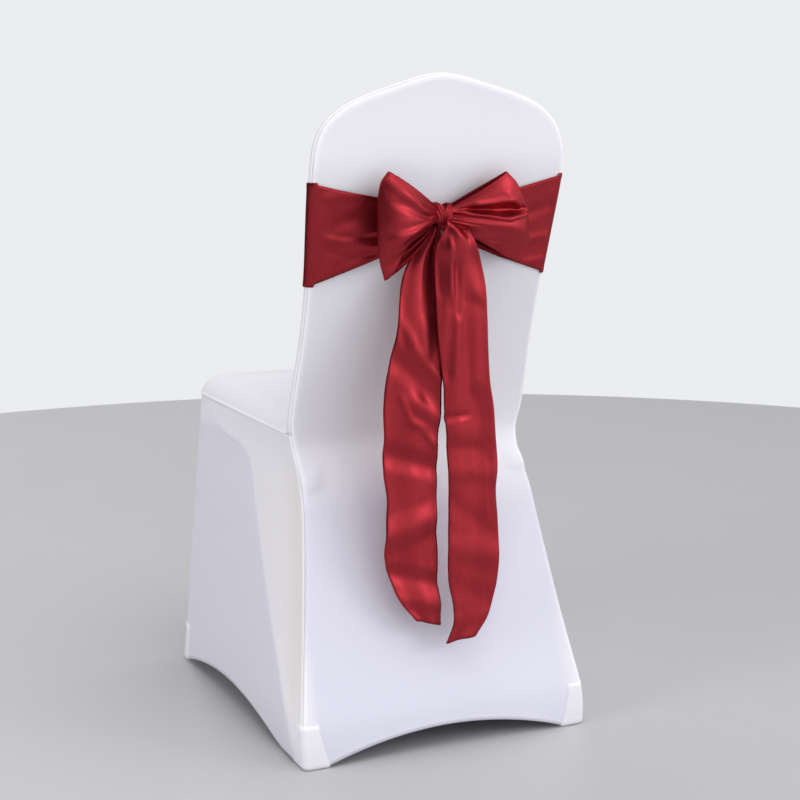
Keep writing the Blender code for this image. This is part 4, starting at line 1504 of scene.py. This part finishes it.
def knit_finish(name, colours, roughness, doubled):
    """Fine stretch knit: wales and courses, cloudier where the stretch varies, with painted
    shade over the space under the seat.
    """
    finish = Finish(name)
    across, along, _ = finish.cloth_place()
    place = finish.body_place()
    wales = (across * (2 * math.pi / 0.0011)).sine()
    courses = (along * (2 * math.pi / 0.0008) + wales * 0.7).sine()
    fuzz = finish.noise(place, 2600.0, 1.0)
    clouds = finish.noise(place, 5.5, 3.0)
    tone = finish.mix(clouds.clamped(), colours.shade, colours.light)
    edge = finish.attribute("hem").below(0.0048, 0.0030)
    tone = finish.mix(edge * (0.9 if doubled else 0.5), tone, colours.doubled)
    # Painted shade: greyer where the shaded space under the seat lies behind the knit.
    tone = finish.mix(finish.attribute("unbacked"), tone, colours.hollow)
    sheer = finish.attribute("show_through") * colours.sheerness
    tone = finish.mix(sheer, tone, colours.underneath)
    weave = wales * 0.5 + courses * 0.35 + fuzz * 0.6
    finish.bump(weave + finish.noise(place, 160.0, 2.0) * 0.8, 0.00016, 0.35)
    finish.set(
        Base_Color=tone,
        Roughness=fuzz * 0.12 + (roughness - 0.06),
        Sheen_Weight=0.25,
        Sheen_Roughness=0.5,
        Specular_IOR_Level=0.25,
    )
    return finish.material


def satin_finish(name, colours):
    """Satin: painted sheen on the floats along the strip, a close weave and a darker rolled hem.
    """
    finish = Finish(name)
    across, along, uv = finish.cloth_place()
    place = finish.body_place()
    floats = finish.noise(finish.stretched(uv, (2200.0, 55.0, 1.0)), 1.0, 2.0)
    streaks = finish.noise(finish.stretched(uv, (170.0, 6.0, 1.0)), 1.0, 3.0)
    clouds = finish.noise(place, 26.0, 2.0)
    shine = (streaks * 0.3 + clouds * 0.7 - 0.2) * 1.6
    tone = finish.mix(shine.clamped(), colours.satin_dark, colours.satin)
    # Painted sheen: the satin's highlight colour laid on its floats in the weave's fine random
    # grain.
    tone = finish.mix((floats * 0.4).clamped(), tone, colours.satin_light)
    hem = finish.attribute("hem")
    rolled = hem.below(0.0018, 0.0008)
    stitched = hem.below(0.0052, 0.0004) * (1 - hem.below(0.0041, 0.0004))
    tone = finish.mix(rolled * 0.9 + stitched * 0.4, tone, colours.satin_dark)
    # The reverse side is duller; its darker colour is also painted shade inside the loops and
    # behind the tails.
    inner = finish.attribute("reverse")
    tone = finish.mix(inner, tone, colours.satin_reverse)
    crinkle = finish.noise(finish.stretched(uv, (110.0, 45.0, 1.0)), 1.0, 3.0)
    finish.bump(floats * 0.05 + crinkle * 1.2, 0.0005, 0.30)
    finish.set(
        Base_Color=tone,
        Roughness=inner * 0.2 + (streaks - 0.5) * 0.10 + colours.satin_roughness,
        Metallic=0.90,
        Specular_Tint=(1.0, 0.62, 0.64, 1.0),
    )
    return finish.material


def thread_finish(name, tint):
    """Sewing thread, with a fine twist and an uneven tone."""
    finish = Finish(name)
    place = finish.body_place()
    twist = finish.noise(place, 1800.0, 1.0)
    tone = finish.mix(twist * 0.5, tint, darker(tint, 0.7))
    finish.bump(twist, 0.0001, 0.5)
    finish.set(Base_Color=tone, Roughness=twist * 0.2 + 0.5)
    return finish.material


def floor_finish(tint):
    """A plain pale floor, a little uneven."""
    finish = Finish("pale_floor")
    place = finish.body_place()
    clouds = finish.noise(place, 1.3, 4.0)
    finish.set(
        Base_Color=finish.mix(clouds.clamped(), tint, darker(tint, 0.96)),
        Roughness=finish.noise(place, 9.0, 3.0) * 0.1 + 0.42,
        Specular_IOR_Level=0.3,
    )
    return finish.material


# ---------------------------------------------------------------- what a user can change


def length(name, default, description, low, high):
    """A setting in metres."""
    return bpy.props.FloatProperty(
        name=name,
        description=description,
        default=default,
        min=low,
        max=high,
        precision=5,
        unit="LENGTH",
    )


def colour(name, default, description):
    """A setting that is a colour."""
    return bpy.props.FloatVectorProperty(
        name=name,
        description=description,
        default=default,
        min=0.0,
        max=1.0,
        size=3,
        subtype="COLOR",
    )


def light_level(name, default, description):
    """A setting that is the strength of the light."""
    return bpy.props.FloatProperty(
        name=name, description=description, default=default, min=0.0, max=5.0
    )


class CoverSizes(bpy.types.PropertyGroup):
    """The cloth of the cover"""

    knit: length("Knit", 0.0015, "Thickness of the stretch knit", 0.001, 0.003)
    hem_width: length("Hem", 0.0065, "Width of the turned hem", 0.004, 0.03)
    hem_height: length("Hem rise", 0.0004, "How far the doubled hem stands out", 0.0, 0.003)
    seam_width: length("Seam welt", 0.0055, "Width of the welt beside a seam", 0.001, 0.02)
    seam_height: length("Welt rise", 0.0008, "How far the welt stands out", 0.0, 0.003)
    wrinkle_depth: length("Wrinkles", 0.0012, "Depth of the slack in the cloth", 0.0, 0.01)
    bracket_height: length("Bracket", 0.0040, "How far the seat's bracket shows", 0.0, 0.01)


class SashSizes(bpy.types.PropertyGroup):
    """The cloth and folds of the sash"""

    satin: length("Satin", 0.0012, "Thickness of the satin", 0.001, 0.003)
    sash_hem: length("Hem", 0.0045, "Width of the rolled hem", 0.002, 0.01)
    sash_hem_height: length("Hem rise", 0.0003, "How far the hem stands out", 0.0, 0.002)
    pucker: length("Puckers", 0.0003, "Depth of the puckers along a hem", 0.0, 0.002)
    fold_depth: bpy.props.FloatProperty(
        name="Folds",
        description="Depth of the bow's folds, as a share of their own",
        default=1.0,
        min=0.0,
        max=1.5,
        subtype="FACTOR",
    )


class StitchSizes(bpy.types.PropertyGroup):
    """The stitches of every hem"""

    spacing: length("Spacing", 0.0030, "From one stitch to the next", 0.001, 0.01)
    stitch: length("Stitch", 0.0022, "Length of one stitch", 0.0005, 0.01)
    thread: length("Thread", 0.00022, "Radius of the thread", 0.0001, 0.001)


class ClothColours(bpy.types.PropertyGroup):
    """The colours and finish of the cloth"""

    light: colour("Knit", (0.775, 0.765, 0.805), "The knit where it lies close")
    shade: colour("Knit, stretched", (0.74, 0.73, 0.79), "The knit where it is stretched")
    doubled: colour("Knit, doubled", (0.91, 0.90, 0.94), "The knit in a hem or a pocket")
    # Painted shade: the knit where the shaded space under the seat lies behind it.
    hollow: colour("Over a hollow", (0.66, 0.65, 0.75), "Knit with nothing behind it")
    underneath: colour("Underneath", (0.66, 0.58, 0.50), "What shows faintly through the knit")
    satin: colour("Satin", (0.35, 0.018, 0.027), "The satin's main colour")
    satin_dark: colour("Satin, dark", (0.22, 0.008, 0.013), "The satin's threads in the dark")
    # Partly the satin's dull reverse, partly painted shade inside the loops and behind the
    # tails.
    satin_reverse: colour("Satin, reverse", (0.150, 0.006, 0.011), "The satin's dull inner side")
    # Painted sheen: the satin's highlight colour, laid on its floats.
    satin_light: colour("Satin, light", (0.60, 0.080, 0.100), "The satin's bright floats")
    white_thread: colour("White thread", (0.88, 0.87, 0.90), "The cover's sewing thread")
    red_thread: colour("Red thread", (0.26, 0.010, 0.022), "The sash's sewing thread")
    sheerness: bpy.props.FloatProperty(
        name="Sheerness",
        description="How much of the chair shows through the knit",
        default=0.35,
        min=0.0,
        max=1.0,
        subtype="FACTOR",
    )
    satin_roughness: bpy.props.FloatProperty(
        name="Satin roughness",
        description="How soft the satin's highlights are",
        default=0.39,
        min=0.05,
        max=1.0,
        subtype="FACTOR",
    )


class StageSettings(bpy.types.PropertyGroup):
    """The camera, the light and the floor"""

    camera_place: bpy.props.FloatVectorProperty(
        name="Camera",
        description="Where the camera stands",
        default=(0.9997, 2.3744, 0.9267),
        size=3,
        subtype="TRANSLATION",
    )
    camera_yaw: bpy.props.FloatProperty(
        name="Yaw",
        description="How far the camera is turned from looking along -Y",
        default=0.4141,
        subtype="ANGLE",
    )
    camera_pitch: bpy.props.FloatProperty(
        name="Pitch",
        description="How far the camera looks down",
        default=0.1878,
        subtype="ANGLE",
    )
    camera_roll: bpy.props.FloatProperty(
        name="Roll",
        description="How far the camera is tilted",
        default=-0.0103,
        subtype="ANGLE",
    )
    lens: bpy.props.FloatProperty(
        name="Lens", description="Focal length in millimetres", default=81.97, min=10.0
    )
    floor_reach: length("Floor reach", 2.4, "How far the floor goes on", 1.0, 20.0)
    floor: colour("Floor", (0.50, 0.50, 0.51), "The floor's colour")
    air: colour("Surroundings", (0.97, 0.98, 1.00), "The colour of the light all round")
    bright_side: bpy.props.FloatVectorProperty(
        name="Bright side",
        description="The way from the cover to the brightest part of the room",
        default=(-0.50, 0.55, 0.65),
        size=3,
        subtype="DIRECTION",
    )
    low_light: light_level("Low light", 0.05, "How bright the room is on its dim side")
    high_light: light_level("High light", 1.45, "How bright the room is on its bright side")
    seen_light: light_level("Backdrop", 0.86, "How bright the room looks behind the cover")


# ---------------------------------------------------------------- making the pieces


def finish_called(context, name):
    """The material of this name, made the first time that a piece needs it."""
    found = bpy.data.materials.get(name)
    if found:
        return found
    colours = context.scene.cloth_colours
    if name == "woven_stretch_knit":
        return knit_finish(name, colours, roughness=0.80, doubled=False)
    if name == "woven_doubled_knit":
        return knit_finish(name, colours, roughness=0.74, doubled=True)
    if name == "woven_satin":
        return satin_finish(name, colours)
    if name == "white_thread":
        return thread_finish(name, colours.white_thread)
    if name == "red_thread":
        return thread_finish(name, colours.red_thread)
    raise ValueError(f"no finish is called {name}")


def knit_piece(context, name, node, sheet, finish="woven_stretch_knit"):
    """One sewn piece of the cover, from its grid."""
    thickness = context.scene.cover_sizes.knit
    piece = make_cloth(name, sheet, thickness, finish_called(context, finish))
    slot = "white_doubled_knit" if finish == "woven_doubled_knit" else "white_stretch_knit"
    dress(piece, node, slot, flat=CUTS[name], held="stretched")


def satin_piece(context, name, sheet, held, rests_on, node=None):
    """One length of the sash, from its grid."""
    thickness = context.scene.sash_sizes.satin
    piece = make_cloth(name, sheet, thickness, finish_called(context, "woven_satin"))
    dress(piece, node, "burgundy_satin", flat=CUTS[name], held=held, rests_on=rests_on)


class COVER_OT_outer_back(bpy.types.Operator):
    """Make the outer back, from the crown to the rear hem"""

    bl_idname = "cover.outer_back"
    bl_label = "Outer back"

    def execute(self, context):
        sheet = back_sheet(context.scene.cover_sizes)
        knit_piece(context, "outer_back", "back_panel", sheet)
        return {"FINISHED"}


class COVER_OT_sleeve_front(bpy.types.Operator):
    """Make the front of the backrest sleeve, down to the seat"""

    bl_idname = "cover.sleeve_front"
    bl_label = "Sleeve front"

    def execute(self, context):
        sheet = sleeve_front_sheet(context.scene.cover_sizes)
        knit_piece(context, "sleeve_front", "back_front_panel", sheet)
        return {"FINISHED"}


class COVER_OT_seat(bpy.types.Operator):
    """Make the seat's top"""

    bl_idname = "cover.seat"
    bl_label = "Seat"

    def execute(self, context):
        sheet = seat_sheet(context.scene.cover_sizes)
        knit_piece(context, "seat_cloth", "seat_panel", sheet)
        return {"FINISHED"}


class COVER_OT_skirt(bpy.types.Operator):
    """Make the skirt's two sides and its front"""

    bl_idname = "cover.skirt"
    bl_label = "Skirt"

    def execute(self, context):
        sizes = context.scene.cover_sizes
        for side, word in ((1, "left"), (-1, "right")):
            sheet = skirt_side_sheet(side, sizes)
            knit_piece(context, f"skirt_{word}_cloth", f"skirt_{word}", sheet)
        knit_piece(context, "skirt_front_cloth", "skirt_front", skirt_front_sheet(sizes))
        return {"FINISHED"}


class COVER_OT_pockets(bpy.types.Operator):
    """Make the four elastic foot pockets of doubled cloth"""

    bl_idname = "cover.pockets"
    bl_label = "Foot pockets"

    def execute(self, context):
        for rear, side, word in POCKETS:
            sheet = pocket_sheet(side, rear)
            node = f"foot_pocket_{word}"
            knit_piece(context, f"{node}_cloth", node, sheet, "woven_doubled_knit")
        return {"FINISHED"}


class COVER_OT_cover_stitches(bpy.types.Operator):
    """Stitch the hems and the mouths of the foot pockets"""

    bl_idname = "cover.cover_stitches"
    bl_label = "Cover stitches"

    def execute(self, context):
        sizes = context.scene.cover_sizes
        lines = []
        hemmed = [back_sheet(sizes), skirt_front_sheet(sizes)]
        hemmed += [skirt_side_sheet(side, sizes) for side in (1, -1)]
        for sheet in hemmed:
            for inset in (sizes.hem_width * 0.80, sizes.hem_width * 0.98):
                lines.append(stitch_line(sheet, "first_row", inset, KNIT_STITCH_PROUD))
        for rear, side, _ in POCKETS:
            sheet = pocket_sheet(side, rear)
            lines.append(stitch_line(sheet, "last_row", POCKET_STITCH_INSET, KNIT_STITCH_PROUD))
        thread = finish_called(context, "white_thread")
        settings = context.scene.stitch_sizes
        piece = make_stitches("cover_stitching", lines, settings, thread)
        dress(piece, None, "white_stretch_knit")
        return {"FINISHED"}


class SASH_OT_band(bpy.types.Operator):
    """Make the band that goes round the back"""

    bl_idname = "sash.band"
    bl_label = "Band"

    def execute(self, context):
        sheet = band_sheet(context.scene.sash_sizes)
        under = ("outer_back", "sleeve_front")
        satin_piece(context, "sash_band", sheet, "stretched", under, "sash")
        return {"FINISHED"}


class SASH_OT_loops(bpy.types.Operator):
    """Make the bow's two loops"""

    bl_idname = "sash.loops"
    bl_label = "Loops"

    def execute(self, context):
        for name, sheet in loop_sheets(context.scene.sash_sizes):
            satin_piece(context, name, sheet, "gathered", ("sash_band",))
        return {"FINISHED"}


class SASH_OT_tails(bpy.types.Operator):
    """Make the two tails that hang from the knot"""

    bl_idname = "sash.tails"
    bl_label = "Tails"

    def execute(self, context):
        for name, sheet in tail_sheets(context.scene.sash_sizes):
            satin_piece(context, name, sheet, "hung", ("outer_back",))
        return {"FINISHED"}


class SASH_OT_knot(bpy.types.Operator):
    """Make the knot, from the turns of cloth that cross in it"""

    bl_idname = "sash.knot"
    bl_label = "Knot"

    def execute(self, context):
        thickness = context.scene.sash_sizes.satin
        satin = finish_called(context, "woven_satin")
        turns = []
        for turn in KNOT_TURNS:
            turns.append(make_cloth("knot_turn", knot_turn_sheet(turn), thickness, satin))
        piece = joined("sash_knot", turns)
        cut = {"flat": CUTS["sash_knot"], "held": "gathered", "rests_on": ("sash_band",)}
        dress(piece, None, "burgundy_satin", **cut)
        return {"FINISHED"}


class SASH_OT_sash_stitches(bpy.types.Operator):
    """Stitch the rolled hems of the sash"""

    bl_idname = "sash.sash_stitches"
    bl_label = "Sash stitches"

    def execute(self, context):
        sizes = context.scene.sash_sizes
        inset = sizes.sash_hem * 0.92
        hemmed = [(band_sheet(sizes), ROW_EDGES)]
        hemmed += [(sheet, ROW_EDGES) for _, sheet in loop_sheets(sizes)]
        tail_edges = ("first_column", "last_column", "last_row")
        hemmed += [(sheet, tail_edges) for _, sheet in tail_sheets(sizes)]
        lines = []
        for sheet, edges in hemmed:
            for edge in edges:
                lines.append(stitch_line(sheet, edge, inset, SATIN_STITCH_PROUD))
        thread = finish_called(context, "red_thread")
        settings = context.scene.stitch_sizes
        piece = make_stitches("sash_stitching", lines, settings, thread)
        dress(piece, None, "burgundy_satin")
        return {"FINISHED"}


# ---------------------------------------------------------------- the stage


SOFT_BOXES = (
    # name, place, size, power, whether it shows in the satin's shine
    ("key_softbox", (-2.7, 3.0, 1.8), 1.2, 22.0, True),
    ("fill_softbox", (3.4, 0.9, 1.2), 1.6, 60.0, False),
    ("top_softbox", (0.1, 1.5, 3.2), 1.4, 8.0, True),
    ("front_softbox", (0.3, -3.0, 2.4), 2.0, 24.0, True),
)
LIGHTS_AIM = Vector((0.0, 0.1, 0.5))
LIGHTS_COLOUR = (1.0, 0.99, 0.98)
# The room brightens from the first to the second of these, as the way turns from square to
# the bright side (0) towards it (1).
BRIGHTENING = (-0.20, 0.95)


def soft_light(name, place, size, power, mirrored):
    """A square soft box that faces the cover, and may show in its shine."""
    lamp = bpy.data.lights.new(name, "AREA")
    lamp.shape = "SQUARE"
    lamp.size = size
    lamp.energy = power
    lamp.color = LIGHTS_COLOUR
    light = placed(name, lamp)
    light.location = place
    light.visible_glossy = mirrored
    toward = LIGHTS_AIM - Vector(place)
    light.rotation_euler = toward.to_track_quat("-Z", "Y").to_euler()


def surroundings(settings):
    """A pale room, brightest overhead to one side, and even to the camera."""
    world = bpy.data.worlds.new("pale_surroundings")
    world.use_nodes = True
    tree = world.node_tree
    link = tree.links.new
    air = tree.nodes["Background"]
    way = tree.nodes.new("ShaderNodeTexCoord")
    toward = tree.nodes.new("ShaderNodeVectorMath")
    toward.operation = "DOT_PRODUCT"
    toward.inputs[1].default_value = Vector(settings.bright_side).normalized()
    rise = tree.nodes.new("ShaderNodeMapRange")
    rise.interpolation_type = "SMOOTHSTEP"
    rise.inputs["From Min"].default_value = BRIGHTENING[0]
    rise.inputs["From Max"].default_value = BRIGHTENING[1]
    rise.inputs["To Min"].default_value = settings.low_light
    rise.inputs["To Max"].default_value = settings.high_light
    path = tree.nodes.new("ShaderNodeLightPath")
    seen = tree.nodes.new("ShaderNodeMix")
    seen.inputs["B"].default_value = settings.seen_light
    link(way.outputs["Generated"], toward.inputs[0])
    link(toward.outputs["Value"], rise.inputs["Value"])
    link(path.outputs["Is Camera Ray"], seen.inputs["Factor"])
    link(rise.outputs["Result"], seen.inputs["A"])
    link(seen.outputs["Result"], air.inputs["Strength"])
    air.inputs["Color"].default_value = rgba(settings.air)
    return world


def camera_turn(yaw, pitch, roll):
    """The camera's axes, from the way it is turned, tipped and tilted."""
    level = math.cos(pitch)
    ahead = Vector((-math.sin(yaw) * level, -math.cos(yaw) * level, -math.sin(pitch)))
    right = Vector((-math.cos(yaw), math.sin(yaw), 0.0))
    up = right.cross(ahead)
    tilted_right = right * math.cos(roll) + up * math.sin(roll)
    tilted_up = up * math.cos(roll) - right * math.sin(roll)
    return Matrix((tilted_right, tilted_up, -ahead)).transposed().to_4x4()


class COVER_OT_stage(bpy.types.Operator):
    """Make the floor, the light and the camera"""

    bl_idname = "cover.stage"
    bl_label = "Stage"

    def execute(self, context):
        settings = context.scene.stage_settings
        bm = bmesh.new()
        bmesh.ops.create_circle(bm, cap_ends=True, segments=160, radius=settings.floor_reach)
        mesh = bpy.data.meshes.new("floor")
        bm.to_mesh(mesh)
        bm.free()
        mesh.materials.append(floor_finish(settings.floor))
        placed("floor", mesh)
        for box in SOFT_BOXES:
            soft_light(*box)
        context.scene.world = surroundings(settings)
        lens = bpy.data.cameras.new("camera")
        lens.sensor_width = 36.0
        lens.lens = settings.lens
        lens.clip_end = 60.0
        camera = placed("camera", lens)
        angles = (settings.camera_yaw, settings.camera_pitch, settings.camera_roll)
        camera.matrix_world = Matrix.Translation(settings.camera_place) @ camera_turn(*angles)
        context.scene.camera = camera
        context.scene.view_settings.view_transform = "Standard"
        return {"FINISHED"}


# ---------------------------------------------------------------- the panel

SETTINGS = {
    "cover_sizes": CoverSizes,
    "sash_sizes": SashSizes,
    "stitch_sizes": StitchSizes,
    "cloth_colours": ClothColours,
    "stage_settings": StageSettings,
}
OPERATORS = (
    COVER_OT_outer_back,
    COVER_OT_sleeve_front,
    COVER_OT_seat,
    COVER_OT_skirt,
    COVER_OT_pockets,
    COVER_OT_cover_stitches,
    SASH_OT_band,
    SASH_OT_loops,
    SASH_OT_tails,
    SASH_OT_knot,
    SASH_OT_sash_stitches,
    COVER_OT_stage,
)


class COVER_PT_panel(bpy.types.Panel):
    """The pieces of the chair cover, and what can be changed"""

    bl_idname = "COVER_PT_panel"
    bl_label = "Chair cover with sash"
    bl_space_type = "VIEW_3D"
    bl_region_type = "UI"
    bl_category = "Chair cover"

    def draw(self, context):
        for word, group in SETTINGS.items():
            box = self.layout.box()
            for setting in group.__annotations__:
                box.prop(getattr(context.scene, word), setting)
        for operator in OPERATORS:
            self.layout.operator(operator.bl_idname)


CLASSES = (*SETTINGS.values(), *OPERATORS, COVER_PT_panel)


def register():
    for each in CLASSES:
        bpy.utils.register_class(each)
    for word, group in SETTINGS.items():
        setattr(bpy.types.Scene, word, bpy.props.PointerProperty(type=group))


def unregister():
    for word in SETTINGS:
        delattr(bpy.types.Scene, word)
    for each in reversed(CLASSES):
        bpy.utils.unregister_class(each)


def main():
    register()
    for operator in OPERATORS:
        group, name = operator.bl_idname.split(".")
        getattr(getattr(bpy.ops, group), name)()


if __name__ == "__main__":
    main()
